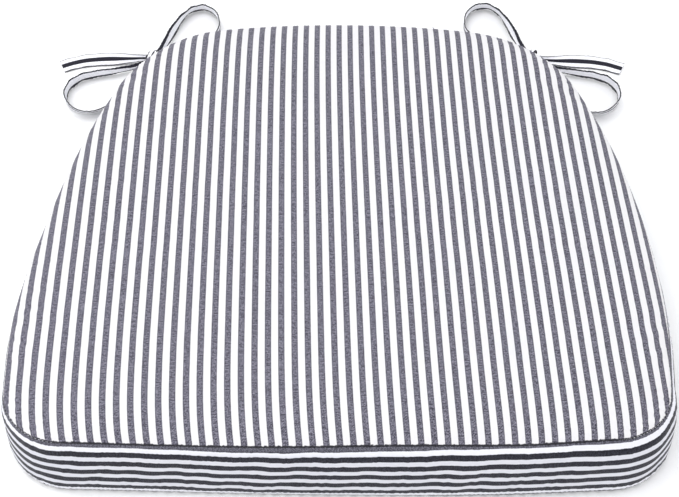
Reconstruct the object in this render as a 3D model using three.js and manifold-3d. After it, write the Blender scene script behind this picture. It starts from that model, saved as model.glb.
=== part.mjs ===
// Boxed chair seat pad: a zip-off striped cover over a wadded foam core, with a pair of ties at each
// rear corner, each pair tied in a bow. Millimetres. +X right, +Y to the rear, +Z up.
// The origin is under the middle of the pad, on the surface that it lies on.

import * as THREE from 'three';
import { mergeVertices } from 'three/addons/utils/BufferGeometryUtils.js';
import Module from 'manifold-3d';

// ---------------------------------------------------------------- driving dimensions

const GAP = 0.3;                    // kept between pieces that touch
const SLIVER = 0.05;                // trim that keeps neighbouring faces from lying in one plane
const CLOTH = 1.2;                  // cover fabric with its turned seam allowance

// Plan outline of the boxing where it bulges most: tangent arcs, from the middle of the front edge
// round to the middle of the rear edge. Each heading is where its arc ends, in degrees from +X.
const FRONT_ARC = { radius: 4400, heading: 2.3, steps: 2 };
const FRONT_CORNER_ARC = { radius: 44, heading: 87.2, steps: 6 };
const SIDE_ARC = { radius: 829, heading: 107.7, steps: 6 };
const REAR_CORNER_ARC = { radius: 105.7, heading: 169.9, steps: 6 };
const REAR_ARC_STEPS = 4;           // the rear arc closes the outline, so its radius follows

// Heights of the cover
const LOW_SEAM = 2.5;               // bottom panel to boxing
const HIGH_SEAM = 52.5;             // boxing to top panel
const SEAM_INSET = 4.5;             // the top seam lies this much inside the bulge of the boxing
const BASE_INSET = 2.1;             // and the bottom seam this much
const CROWN = 10;                   // the top panel stands this much above its seam
const CROWN_RUN = 34;               // width of the rounded edge of the top panel
const BASE_RUN = 8;                 // width of the rounded edge of the bottom panel
const BULGE_FLAT = 1;               // height of the upright middle of the boxing

// Filling
const WADDING = 5;
const FILL_ROOM = 1.3;              // between the seams and the filling, all round
const FOAM_EDGE = 8;                // height of the foam block's rounded edges
const FOAM_RUN = 24;                // and their width

// Rear zip: the boxing is two strips there, with the zip between them
const ZIP_HALF_ANGLE = 9.8;         // degrees of the rear arc, each side of the middle
const ZIP_HEIGHT = (LOW_SEAM + HIGH_SEAM) / 2;
const ZIP_WINDOW = 10;              // bare tape and coils between the two strips
const TAPE_WIDTH = 10;
const TAPE_THICKNESS = 0.8;
const COIL_RADIUS = 1.4;
const COIL_PARTING = 1.1;           // room between the coils for the slider's neck
const ZIP_DEPTH = 2.4;              // coil centres inside the bulge of the boxing
const TAPE_DEPTH = 3.6;             // the coils stand proud of their tapes
const TAPE_END_ANGLE = 0.1;         // degrees from each end of the zip to the end of its tapes
const STITCH_END_ANGLE = 0.2;       // and to the end of its stitching
const STITCH_OFFSET = 2;            // stitching line outside the window
const STOP_ANGLE = 0.3;             // and to the middle of each stop
const STOP_HALF_ANGLE = 0.1;
const STOP_PROUD = 1;               // the stops reach past the middles of the coils
const COIL_END_ANGLE = 0.45;        // and to the end of its coils
const SLIDER_ANGLE = 1.1;           // and to the middle of the slider when the zip is closed
const THREAD = 0.5;
const WEDGE_DEPTH = 40;             // of the block that parts the boxing for the zip

// Ties: flat sewn tape
const TIE_WIDTH = 12.5;
const TIE_THICKNESS = 1.8;
const BOW_OFFSET = -4;              // the two bows sit this much off the middle of the pad
const TIE_STEP = 6;                 // length of one step along a tie

// Colours
const STRIPE_CLOTH = { color: 0xb9b8c2, roughness: 0.9, metalness: 0 };
const BOXING_CLOTH = { color: 0x93929f, roughness: 0.9, metalness: 0 };
const TIE_CLOTH = { color: 0xe9e9f1, roughness: 0.9, metalness: 0 };
const FOAM = { color: 0xefe6c4, roughness: 1, metalness: 0 };
const FIBRE = { color: 0xf6f6f4, roughness: 1, metalness: 0 };
const THREAD_WHITE = { color: 0xf2f2f4, roughness: 0.7, metalness: 0 };
const ZIP_TAPE = { color: 0x2a2c3a, roughness: 0.85, metalness: 0 };
const ZIP_NYLON = { color: 0x34364a, roughness: 0.45, metalness: 0 };
const ZIP_METAL = { color: 0xa9abb0, roughness: 0.35, metalness: 0.9 };

// ---------------------------------------------------------------- the outline

const radians = THREE.MathUtils.degToRad;

/** One arc of the outline: its centre, radius and the headings between which it runs. */
function arcAfter(last, radius, heading) {
  const centre = new THREE.Vector2(
    last.end.x - radius * Math.sin(last.heading),
    last.end.y + radius * Math.cos(last.heading),
  );
  const end = new THREE.Vector2(
    centre.x + radius * Math.sin(heading),
    centre.y - radius * Math.cos(heading),
  );
  return { centre, radius, from: last.heading, heading, end };
}

function outlineArcs() {
  const arcs = [];
  let last = { end: new THREE.Vector2(0, 0), heading: 0 };
  for (const side of [FRONT_ARC, FRONT_CORNER_ARC, SIDE_ARC, REAR_CORNER_ARC]) {
    last = { ...arcAfter(last, side.radius, radians(side.heading)), steps: side.steps };
    arcs.push(last);
  }
  const rearRadius = last.end.x / Math.sin(last.heading);
  arcs.push({ ...arcAfter(last, rearRadius, Math.PI), steps: REAR_ARC_STEPS });
  return arcs;
}

const ARCS = outlineArcs();
const REAR_ARC = ARCS[ARCS.length - 1];
const DEPTH = REAR_ARC.end.y;
const REAR_CENTRE = new THREE.Vector2(0, REAR_ARC.centre.y - DEPTH / 2);

/** Right half of the outline, from front to rear, moved inwards by inset. */
function halfOutline(inset) {
  const points = [new THREE.Vector2(0, inset - DEPTH / 2)];
  for (const arc of ARCS) {
    for (let step = 1; step <= arc.steps; step += 1) {
      const heading = THREE.MathUtils.lerp(arc.from, arc.heading, step / arc.steps);
      const radius = arc.radius - inset;
      points.push(new THREE.Vector2(
        arc.centre.x + radius * Math.sin(heading),
        arc.centre.y - radius * Math.cos(heading) - DEPTH / 2,
      ));
    }
  }
  return points;
}

function outline(inset) {
  const right = halfOutline(inset);
  const left = right.slice(1, -1).reverse().map((p) => new THREE.Vector2(-p.x, p.y));
  return [...right, ...left];
}

// ---------------------------------------------------------------- solids

const wasm = await Module();
wasm.setup();

function toSolid(geometry) {
  const bare = geometry.clone();
  bare.deleteAttribute('normal');
  bare.deleteAttribute('uv');
  const merged = mergeVertices(bare, 1e-4);
  return new wasm.Manifold(new wasm.Mesh({
    numProp: 3,
    vertProperties: new Float32Array(merged.attributes.position.array),
    triVerts: new Uint32Array(merged.index.array),
  }));
}

function toGeometry(solid) {
  const mesh = solid.getMesh();
  const geometry = new THREE.BufferGeometry();
  geometry.setAttribute('position', new THREE.BufferAttribute(mesh.vertProperties, 3));
  geometry.setIndex(new THREE.BufferAttribute(mesh.triVerts, 1));
  return geometry;
}

function cutAway(geometry, ...tools) {
  return toGeometry(tools.reduce((solid, tool) => solid.subtract(toSolid(tool)), toSolid(geometry)));
}

function joined(...geometries) {
  const solids = geometries.map(toSolid);
  return toGeometry(solids.slice(1).reduce((whole, solid) => whole.add(solid), solids[0]));
}

/** A slab with the pad's outline and rounded edges, from low to high. */
function slab({ inset, low, high, rise, run, rounds = 3 }) {
  const geometry = new THREE.ExtrudeGeometry(new THREE.Shape(outline(inset + run)), {
    depth: high - low - 2 * rise,
    bevelEnabled: true,
    bevelThickness: rise,
    bevelSize: run,
    bevelSegments: rounds,
  });
  return geometry.translate(0, 0, low + rise);
}

function box(low, high) {
  const size = high.map((value, axis) => value - low[axis]);
  const geometry = new THREE.BoxGeometry(...size);
  return geometry.translate(...low.map((value, axis) => value + size[axis] / 2));
}

/** Everything below or above a height, as a block to cut with. */
const REACH = 400;
const below = (z) => box([-REACH, -REACH, -REACH], [REACH, REACH, z]);
const above = (z) => box([-REACH, -REACH, z], [REACH, REACH, REACH]);

/** A flat ring along the outline. */
function ring(insetOut, insetIn, low, high) {
  const shape = new THREE.Shape(outline(insetOut));
  shape.holes.push(new THREE.Path(outline(insetIn)));
  return new THREE.ExtrudeGeometry(shape, { depth: high - low, bevelEnabled: false }).translate(0, 0, low);
}

/** A curved bar that follows the rear arc between two angles, in degrees from the middle. */
function rearBar({ from, to, insetOut, insetIn, low, high, steps = 10 }) {
  const rim = [];
  for (const [inset, start, end] of [[insetOut, from, to], [insetIn, to, from]]) {
    for (let step = 0; step <= steps; step += 1) {
      const angle = radians(THREE.MathUtils.lerp(start, end, step / steps));
      const radius = REAR_ARC.radius - inset;
      rim.push(new THREE.Vector2(
        REAR_CENTRE.x + radius * Math.sin(angle),
        REAR_CENTRE.y + radius * Math.cos(angle),
      ));
    }
  }
  return new THREE.ExtrudeGeometry(new THREE.Shape(rim), { depth: high - low, bevelEnabled: false })
    .translate(0, 0, low);
}

/** The wedge of the rear that the zip takes, as a block to cut with. */
function rearWedge(halfAngle, low, high) {
  return rearBar({
    from: -halfAngle,
    to: halfAngle,
    insetOut: -WEDGE_DEPTH,
    insetIn: WEDGE_DEPTH,
    low,
    high,
    steps: 4,
  });
}

// ---------------------------------------------------------------- cover

const MID_HEIGHT = (LOW_SEAM + HIGH_SEAM) / 2;
const SEAM_GAP = GAP + THREAD / 2;
const ZIP_LOW = ZIP_HEIGHT - ZIP_WINDOW / 2;
const ZIP_HIGH = ZIP_HEIGHT + ZIP_WINDOW / 2;

function topPanel() {
  const outer = {
    inset: SEAM_INSET,
    low: HIGH_SEAM - CROWN,
    high: HIGH_SEAM + CROWN,
    rise: CROWN - 4 * SLIVER,
  };
  const outside = slab({ ...outer, run: CROWN_RUN, rounds: 4 });
  const inside = slab({
    inset: SEAM_INSET + CLOTH,
    low: outer.low + CLOTH,
    high: outer.high - CLOTH,
    rise: outer.rise - CLOTH,
    run: CROWN_RUN - CLOTH,
    rounds: 4,
  });
  return cutAway(outside, inside, below(HIGH_SEAM + SEAM_GAP));
}

function bottomPanel() {
  const high = 3 * LOW_SEAM;
  const outside = slab({ inset: BASE_INSET, low: 0, high, rise: LOW_SEAM, run: BASE_RUN, rounds: 2 });
  const inside = slab({
    inset: BASE_INSET + CLOTH,
    low: CLOTH,
    high: high - CLOTH,
    rise: LOW_SEAM - CLOTH,
    run: BASE_RUN - CLOTH,
    rounds: 2,
  });
  return cutAway(outside, inside, above(LOW_SEAM - SEAM_GAP));
}

/** The whole wall of the cover, before the rear is parted for the zip. */
function boxingWall(inset) {
  const rise = (HIGH_SEAM - LOW_SEAM - BULGE_FLAT) / 2;
  const bulge = (run) => slab({ inset, low: LOW_SEAM, high: HIGH_SEAM, rise, run, rounds: 3 });
  const upper = toSolid(bulge(SEAM_INSET)).subtract(toSolid(below(MID_HEIGHT)));
  const lower = toSolid(bulge(BASE_INSET)).subtract(toSolid(above(MID_HEIGHT)));
  return toGeometry(upper.add(lower));
}

const wallTrims = () => [boxingWall(CLOTH), below(LOW_SEAM + SEAM_GAP), above(HIGH_SEAM - SEAM_GAP)];

function boxingBand() {
  return cutAway(boxingWall(0), ...wallTrims(), rearWedge(ZIP_HALF_ANGLE, -REACH, REACH));
}

function zipStrip(low, high) {
  const place = toSolid(rearWedge(ZIP_HALF_ANGLE - SLIVER, low, high));
  const strip = toSolid(boxingWall(0)).intersect(place);
  return toGeometry(wallTrims().reduce((solid, tool) => solid.subtract(toSolid(tool)), strip));
}

/** The line of stitching along a seam, at its height. */
function seamThread(inset, height) {
  const half = THREAD / 2 - SLIVER;
  return ring(inset, inset + CLOTH, height - half, height + half);
}

// ---------------------------------------------------------------- filling

/** The filling's outer shape, or what lies a given depth inside it. */
function fillSlab(depth) {
  return slab({
    inset: SEAM_INSET + CLOTH + FILL_ROOM + depth,
    low: CLOTH + GAP + depth,
    high: HIGH_SEAM + CROWN - CLOTH - FILL_ROOM - depth,
    rise: FOAM_EDGE,
    run: FOAM_RUN,
    rounds: 2,
  });
}

const foamCore = () => fillSlab(WADDING + GAP);
const waddingHalf = (cut) => cutAway(fillSlab(0), fillSlab(WADDING), cut);

// ---------------------------------------------------------------- zip

const COIL_OFFSET = COIL_PARTING / 2 + COIL_RADIUS;

function coil(side) {
  const height = ZIP_HEIGHT + side * COIL_OFFSET;
  return rearBar({
    from: -ZIP_HALF_ANGLE + COIL_END_ANGLE,
    to: ZIP_HALF_ANGLE - COIL_END_ANGLE,
    insetOut: ZIP_DEPTH - COIL_RADIUS,
    insetIn: ZIP_DEPTH + COIL_RADIUS,
    low: height - COIL_RADIUS,
    high: height + COIL_RADIUS,
    steps: 12,
  });
}

function tape(side) {
  const inner = ZIP_HEIGHT + side * (COIL_OFFSET + COIL_RADIUS + GAP);
  const outer = inner + side * TAPE_WIDTH;
  return rearBar({
    from: -ZIP_HALF_ANGLE + TAPE_END_ANGLE,
    to: ZIP_HALF_ANGLE - TAPE_END_ANGLE,
    insetOut: TAPE_DEPTH - TAPE_THICKNESS / 2,
    insetIn: TAPE_DEPTH + TAPE_THICKNESS / 2,
    low: Math.min(inner, outer),
    high: Math.max(inner, outer),
    steps: 12,
  });
}

/** Small metal end of the zip, clamped round both coils. */
function zipStop(side) {
  const angle = side * (ZIP_HALF_ANGLE - STOP_ANGLE);
  return rearBar({
    from: angle - STOP_HALF_ANGLE,
    to: angle + STOP_HALF_ANGLE,
    insetOut: ZIP_DEPTH - COIL_RADIUS,
    insetIn: ZIP_DEPTH + COIL_RADIUS,
    low: ZIP_HEIGHT - COIL_OFFSET - STOP_PROUD,
    high: ZIP_HEIGHT + COIL_OFFSET + STOP_PROUD,
    steps: 2,
  });
}

/** A row of stitches through strip and tape, just outside the window. */
function zipStitches(side) {
  const height = ZIP_HEIGHT + side * (ZIP_WINDOW / 2 + STITCH_OFFSET);
  return rearBar({
    from: -ZIP_HALF_ANGLE + STITCH_END_ANGLE,
    to: ZIP_HALF_ANGLE - STITCH_END_ANGLE,
    insetOut: -THREAD - GAP,
    insetIn: -GAP,
    low: height - THREAD / 2,
    high: height + THREAD / 2,
    steps: 12,
  });
}

// The slider is made about its own middle: X along the zip, Y outwards from the pad, Z up.
const SLIDER = { length: 11, height: 8.6, plate: 1.1, room: 0.35 };
const BLADE = { tip: 0.5, root: 4 };            // the neck between the coils, from the slider's end
const ARCH = { half: 4.6, width: 2.2, top: 3.4, leg: 1.2, roof: 0.9 };
const PULL = { pin: 0.55, arm: 1.2, inner: 1.7, reach: 22, height: 7, thickness: 1.2, window: 6.2 };
const FUSE = 0.5;                               // overlap of shapes that are joined into one piece
const PLATE_FACE = COIL_RADIUS + SLIDER.room + SLIDER.plate;

function zipSlider() {
  const half = SLIDER.length / 2;
  const tall = SLIDER.height / 2;
  const inner = COIL_RADIUS + SLIDER.room;
  const neck = COIL_PARTING / 2 - GAP;
  const front = box([-half, inner, -tall], [half, PLATE_FACE, tall]);
  const back = box([-half, -PLATE_FACE, -tall], [half, -inner, tall]);
  const blade = box(
    [half - BLADE.root, -inner - FUSE, -neck],
    [half - BLADE.tip, inner + FUSE, neck],
  );
  const width = ARCH.width / 2;
  const legs = [-1, 1].map((side) => {
    const [start, end] = [side * ARCH.half, side * (ARCH.half - ARCH.leg)].sort((a, b) => a - b);
    return box([start, PLATE_FACE - FUSE, -width], [end, PLATE_FACE + ARCH.top, width]);
  });
  const roof = box(
    [-ARCH.half, PLATE_FACE + ARCH.top - ARCH.roof, -width],
    [ARCH.half, PLATE_FACE + ARCH.top, width],
  );
  return joined(front, back, blade, ...legs, roof);
}

const PIN_OUT = PLATE_FACE + (ARCH.top - ARCH.roof) / 2;

function zipPull() {
  const outer = PULL.inner + PULL.arm;
  const pin = new THREE.CylinderGeometry(PULL.pin, PULL.pin, 2 * outer, 10).rotateX(Math.PI / 2);
  const arms = [-1, 1].map((side) => {
    const [low, high] = [side * PULL.inner, side * outer].sort((a, b) => a - b);
    return box([-PULL.pin, -PULL.pin, low], [PULL.window + FUSE, PULL.pin, high]);
  });
  const thick = PULL.thickness / 2;
  const tab = box([PULL.window, -thick, -PULL.height / 2], [PULL.reach, thick, PULL.height / 2]);
  return joined(pin, ...arms, tab).translate(0, PIN_OUT, 0);
}

/** Turns a piece made about the slider's middle onto the rear arc at an angle from the middle. */
function placeOnZip(mesh, angle) {
  const radius = REAR_ARC.radius - ZIP_DEPTH;
  mesh.position.set(
    REAR_CENTRE.x + radius * Math.sin(radians(angle)),
    REAR_CENTRE.y + radius * Math.cos(radians(angle)),
    ZIP_HEIGHT,
  );
  mesh.rotation.z = -radians(angle);
  return mesh;
}

// ---------------------------------------------------------------- ties

// Routes on the surface behind the pad, for the right-hand bow, from the knot outwards. The left-hand
// bow is its mirror image, and both are then moved by BOW_OFFSET. The root starts at the pad's seam.
const ROOT_START = { x: 147.6, y: 179.3 };
const KNOT = { x: 155.5, y: 211, halfWidth: 8.5, halfDepth: 8, halfHeight: 5.6 };
const TIE_ROUTES = {
  root: [[150.5, 188], [153.3, 197], [154.3, 202]],
  loop_up: [
    [151.5, 220], [149, 228], [146, 238], [142.5, 249], [138, 262], [133, 273], [128, 279],
    [121.5, 281.5], [114.5, 279], [108, 272], [104.5, 263], [103.5, 252], [104.5, 243],
    [109, 235.5], [117, 229], [127, 224], [138, 220], [147, 217],
  ],
  loop_out: [
    [163.3, 205], [172, 201], [183, 196.5], [197, 193], [208, 190.5], [216.5, 185.5],
    [221.5, 178], [223.5, 169], [221.5, 160.5], [216, 153.5], [208, 150], [199.5, 150.5],
    [191, 156], [183, 164.5], [176, 175], [170.5, 186], [165, 196], [162, 202],
  ],
  tail_out: [
    [167.5, 213.5], [175, 214], [184, 214.5], [194, 214.5], [204, 214], [219, 212.5], [233, 207.5],
  ],
  tail_in: [
    [145, 207], [137, 205], [126, 206], [113, 208.5], [101, 214.5], [91, 225], [83, 236], [78.5, 244],
  ],
};
const TAIL_IN_TIP = { right: [72, 257] };       // the right-hand bow's inner tail is the longer one

/** Tape on the surface along a route: its section is tall by wide. */
function tieTape(points, tall, wide) {
  const height = tall / 2 + GAP;
  const curve = new THREE.CatmullRomCurve3(points.map(([x, y]) => new THREE.Vector3(x, y, height)));
  const section = new THREE.Shape([
    new THREE.Vector2(-tall / 2, -wide / 2),
    new THREE.Vector2(tall / 2, -wide / 2),
    new THREE.Vector2(tall / 2, wide / 2),
    new THREE.Vector2(-tall / 2, wide / 2),
  ]);
  const steps = Math.ceil(curve.getLength() / TIE_STEP);
  return new THREE.ExtrudeGeometry(section, { steps, extrudePath: curve, bevelEnabled: false });
}

const lyingTape = (points) => tieTape(points, TIE_THICKNESS, TIE_WIDTH);
const standingTape = (points) => tieTape(points, TIE_WIDTH, TIE_THICKNESS);

/** The pieces of one bow. Side is 1 on the right and -1 on the left. */
function bowPieces(word, side) {
  const place = ([x, y]) => [side * x + BOW_OFFSET, y];
  const route = (name) => TIE_ROUTES[name].map(place);
  const tip = TAIL_IN_TIP[word] ? [place(TAIL_IN_TIP[word])] : [];
  const [knotX, knotY] = place([KNOT.x, KNOT.y]);
  const knot = new THREE.SphereGeometry(1, 12, 8)
    .rotateX(Math.PI / 2)
    .scale(KNOT.halfWidth, KNOT.halfDepth, KNOT.halfHeight)
    .translate(knotX, knotY, KNOT.halfHeight + GAP);
  return {
    tie_root: lyingTape([[side * ROOT_START.x, ROOT_START.y], ...route('root')]),
    tie_knot: knot,
    tie_loop_up: standingTape(route('loop_up')),
    tie_loop_out: standingTape(route('loop_out')),
    tie_tail_out: lyingTape(route('tail_out')),
    tie_tail_in: lyingTape([...route('tail_in'), ...tip]),
  };
}

// ---------------------------------------------------------------- the pad

const pad = new THREE.Group();
pad.name = 'chair_seat_pad';

function add(name, geometry, finish, parent = pad) {
  const mesh = new THREE.Mesh(geometry, new THREE.MeshStandardMaterial(finish));
  mesh.name = name;
  parent.add(mesh);
  return mesh;
}

add('top_panel', topPanel(), STRIPE_CLOTH);
add('bottom_panel', bottomPanel(), STRIPE_CLOTH);
add('boxing_band', boxingBand(), BOXING_CLOTH);
add('top_seam_thread', seamThread(SEAM_INSET, HIGH_SEAM), THREAD_WHITE);
add('bottom_seam_thread', seamThread(BASE_INSET, LOW_SEAM), THREAD_WHITE);

add('foam_core', foamCore(), FOAM);
add('wadding_upper', waddingHalf(below(MID_HEIGHT + GAP / 2)), FIBRE);
add('wadding_lower', waddingHalf(above(MID_HEIGHT - GAP / 2)), FIBRE);

add('zip_strip_upper', zipStrip(ZIP_HIGH, REACH), BOXING_CLOTH);
add('zip_strip_lower', zipStrip(-REACH, ZIP_LOW), BOXING_CLOTH);
for (const [word, side] of [['upper', 1], ['lower', -1]]) {
  add(`zip_tape_${word}`, tape(side), ZIP_TAPE);
  add(`zip_coil_${word}`, coil(side), ZIP_NYLON);
  add(`zip_stitches_${word}`, zipStitches(side), THREAD_WHITE);
}
add('zip_stop_right', zipStop(1), ZIP_METAL);
add('zip_stop_left', zipStop(-1), ZIP_METAL);
const closedAngle = ZIP_HALF_ANGLE - SLIDER_ANGLE;
placeOnZip(add('zip_slider', zipSlider(), ZIP_METAL), closedAngle);
placeOnZip(add('zip_pull', zipPull(), ZIP_METAL), closedAngle);

for (const [word, side] of [['right', 1], ['left', -1]]) {
  for (const [name, geometry] of Object.entries(bowPieces(word, side))) {
    add(`${name}_${word}`, geometry, TIE_CLOTH);
  }
}

export default pad;
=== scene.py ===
"""A boxed chair seat pad: a zip-off striped cover over a wadded foam core, and a tie bow at each rear corner.

Lengths are millimetres and angles are degrees until a mesh is made. +X right, +Y to the rear, +Z up.
"""

import math

import bmesh
import bpy
import numpy as np
from mathutils import Matrix


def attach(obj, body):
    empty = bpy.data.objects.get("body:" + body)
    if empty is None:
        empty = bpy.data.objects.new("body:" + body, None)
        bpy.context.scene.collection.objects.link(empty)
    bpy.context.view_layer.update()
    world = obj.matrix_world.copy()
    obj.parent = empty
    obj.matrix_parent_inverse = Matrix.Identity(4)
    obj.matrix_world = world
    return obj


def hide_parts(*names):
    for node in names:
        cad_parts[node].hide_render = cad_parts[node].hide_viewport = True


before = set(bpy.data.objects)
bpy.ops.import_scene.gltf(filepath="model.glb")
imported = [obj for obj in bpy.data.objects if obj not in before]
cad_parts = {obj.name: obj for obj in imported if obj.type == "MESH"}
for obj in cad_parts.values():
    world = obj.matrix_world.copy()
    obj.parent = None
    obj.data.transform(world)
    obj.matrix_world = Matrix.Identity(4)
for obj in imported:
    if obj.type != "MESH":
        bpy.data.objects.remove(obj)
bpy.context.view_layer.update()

MM = 0.001

# ---------------- driving dimensions

# Plan outline of the boxing where it bulges most: tangent arcs from the middle of the front edge round
# to the rear edge, as (radius, heading where the arc ends). The rear arc closes the outline.
OUTLINE_ARCS = ((4400.0, 2.3), (44.0, 87.2), (829.0, 107.7), (105.7, 169.9))

# A stuffed cover is never quite even: how far it sits outside that outline, and how far its top seam is
# drawn in beyond SEAM_INSET, as (place, mm). Places are shares of the way round, clockwise from the
# middle of the rear seen from above, so the front left corner is near 0.33 and the right one near 0.67.
OUTLINE_EASE = (
    (0.0, -1.0), (0.04, -1.0), (0.085, -1.0), (0.12, -2.5), (0.18, 0.5), (0.24, 1.5), (0.3, 4.5), (0.36, 1.0),
    (0.5, 0.0), (0.57, 0.5), (0.625, -1.0), (0.71, 3.5), (0.8, 2.0), (0.88, -1.0), (0.92, -1.0), (0.96, -1.0),
)
SEAM_EASE = (
    (0.0, 1.5), (0.08, -1.0), (0.2, -0.5), (0.3, -1.0), (0.38, -1.0), (0.46, -1.0), (0.54, 1.5),
    (0.58, 1.0), (0.63, 2.5), (0.72, -0.5), (0.83, -2.5), (0.91, 0.5), (0.96, 1.5),
)

LOW_SEAM = 2.5
HIGH_SEAM = 52.5
SEAM_INSET = 4.5            # top seam inside the bulge of the boxing
BASE_INSET = 2.1            # bottom seam inside it
BOXING_CLOTH = 51.0         # from seam to seam along the cloth
BULGE_AT = 32.5             # where the boxing bulges most, from the top seam along the cloth
BULGE_POWER = 3.45          # how suddenly the boxing bends in towards its seams
CROWN_RISE = 8.7            # rounded edge of the top panel, above its seam
CROWN_RUN = 34.0
DOME_RISE = 1.1             # the middle of the top panel above that
BASE_RUN = 8.0              # rounded edge of the bottom panel
BASE_HEIGHT = 0.35
CLOTH = 0.9                 # thickness
TURN_IN = 0.9               # how steeply cloth turns in past its seam

STITCH = 2.9                # seam stitch length
STRIPE = 8.69               # one dark and one white stripe
DARK_SHARE = 0.48           # how much of that is dark on the top and bottom panels
BOXING_DARK_SHARE = 0.55
YARN = 0.58                 # from one thread to the next
YARN_DEPTH = 0.12 * MM

TIE_WIDTH = 12.5
TIE_THICKNESS = 1.1
TIE_DARK_HALF = 2.1         # half of the dark stripe down the face of a tie
TIE_BACK_WHITE = (-2.6, 4.8)    # the white stripe down its back

ZIP_HEIGHT = (LOW_SEAM + HIGH_SEAM) / 2
ZIP_WINDOW = 10.0           # between the edges of the two strips
ZIP_HALF_ANGLE = 9.8
ZIP_INSET = 2.4             # middle of the coils, inside the outline

LENS = 82.18
CAMERA_PLACE = (0.0149, -0.7613, 0.858)     # metres
CAMERA_PAN = 1.324
CAMERA_DOWN = 48.038
CAMERA_ROLL = -0.8
FLOOR_HALF = 4000.0         # half of the floor's side


# ---------------- small tools

def srgb(red, green, blue):
    """Linear colour of an sRGB one given from 0 to 255."""
    return tuple(((c / 255 + 0.055) / 1.055) ** 2.4 if c > 10 else c / 3295 for c in (red, green, blue))


def toned(color, factor):
    return tuple(min(1.0, c * factor) for c in color)


def smoothstep(value):
    value = np.clip(value, 0, 1)
    return value * value * (3 - 2 * value)


def hermite(t, span, first, last, first_slope, last_slope):
    """A smooth curve between two values with their slopes, at shares t of the span between them."""
    return ((2 * t ** 3 - 3 * t ** 2 + 1) * first + (t ** 3 - 2 * t ** 2 + t) * span * first_slope
            + (3 * t ** 2 - 2 * t ** 3) * last + (t ** 3 - t ** 2) * span * last_slope)


def read_table(table, at):
    """A table of (place, value), read at some places."""
    places, values = np.array(table).T
    return np.interp(at, places, values)


def wobble(x, seed, octaves=3):
    """Smooth repeatable unevenness between about -1 and 1 along x, with a wavelength of about 6."""
    total = np.zeros_like(np.asarray(x, float))
    for k in range(octaves):
        rate = 1.0 + 0.618 * k + 0.13 * seed
        total += np.sin(x * rate + seed * 2.399 + k * 1.7) / (1 + 0.6 * k)
    return total / 1.8


def wobble2(x, y, seed):
    """The same over a plane."""
    across, along = x + 0.7 * wobble(y, seed + 3), y + 0.7 * wobble(x, seed + 5)
    return 0.6 * (wobble(across, seed) + wobble(along, seed + 1))


def unit(vectors):
    """Vectors, one in each row, made 1 long."""
    return vectors / np.linalg.norm(vectors, axis=1)[:, None]


def distance_along(points):
    """How far along a line of points each of them is."""
    return np.concatenate([[0], np.cumsum(np.linalg.norm(np.diff(points, axis=0), axis=1))])


def round_angles(count):
    return np.arange(count) * 2 * math.pi / count


def side_of(word):
    return 1 if word in ("right", "upper") else -1


# ---------------- camera, floor and light

def add_object(name, data):
    item = bpy.data.objects.new(name, data)
    bpy.context.scene.collection.objects.link(item)
    return item


def new_mesh(name, points, faces):
    """A mesh from points in millimetres."""
    mesh = bpy.data.meshes.new(name)
    mesh.from_pydata((np.asarray(points, float) * MM).tolist(), [], [list(map(int, face)) for face in faces])
    mesh.update()
    return mesh


def add_camera():
    data = bpy.data.cameras.new("camera")
    data.sensor_width = 36
    data.lens = LENS
    camera = add_object("camera", data)
    turn = (Matrix.Rotation(math.radians(CAMERA_PAN), 4, "Z")
            @ Matrix.Rotation(math.radians(90 - CAMERA_DOWN), 4, "X")
            @ Matrix.Rotation(math.radians(CAMERA_ROLL), 4, "Z"))
    camera.matrix_world = Matrix.Translation(CAMERA_PLACE) @ turn
    bpy.context.scene.camera = camera


def add_light(name, place, size, power):
    """A round area light, turned to the middle of the floor."""
    data = bpy.data.lights.new(name, "AREA")
    data.shape = "DISK"
    data.size = size
    data.energy = power
    light = add_object(name, data)
    light.location = place
    light.rotation_euler = (math.acos(place[2] / math.hypot(*place)), 0, math.atan2(-place[0], place[1]))


def add_studio():
    world = bpy.data.worlds.new("studio")
    world.use_nodes = True
    sky = world.node_tree.nodes["Background"].inputs
    sky["Color"].default_value = (0.97, 0.98, 1.0, 1)
    sky["Strength"].default_value = 1.13
    bpy.context.scene.world = world
    add_light("key", (-0.9, -0.5, 2.3), 2.4, 32)
    add_light("fill", (-0.5, -2.2, 1.2), 1.6, 16)
    corners = [(x * FLOOR_HALF, y * FLOOR_HALF, 0) for x, y in ((-1, -1), (1, -1), (1, 1), (-1, 1))]
    floor = new_mesh("floor", corners, [(0, 1, 2, 3)])
    floor.materials.append(Graph("floor").surface(color=(0.93, 0.93, 0.93), roughness=0.8))
    add_object("floor", floor)
    bpy.context.scene.view_settings.view_transform = "Standard"


# ---------------- node materials

class Value:
    """A number that a material's nodes work out. Values add, subtract, multiply and divide."""

    def __init__(self, graph, socket):
        self.graph = graph
        self.socket = socket

    def __add__(self, other):
        return self.graph.math("ADD", self, other)

    def __sub__(self, other):
        return self.graph.math("SUBTRACT", self, other)

    def __rsub__(self, other):
        return self.graph.math("SUBTRACT", other, self)

    def __mul__(self, other):
        return self.graph.math("MULTIPLY", self, other)

    def __truediv__(self, other):
        return self.graph.math("DIVIDE", self, other)


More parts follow.
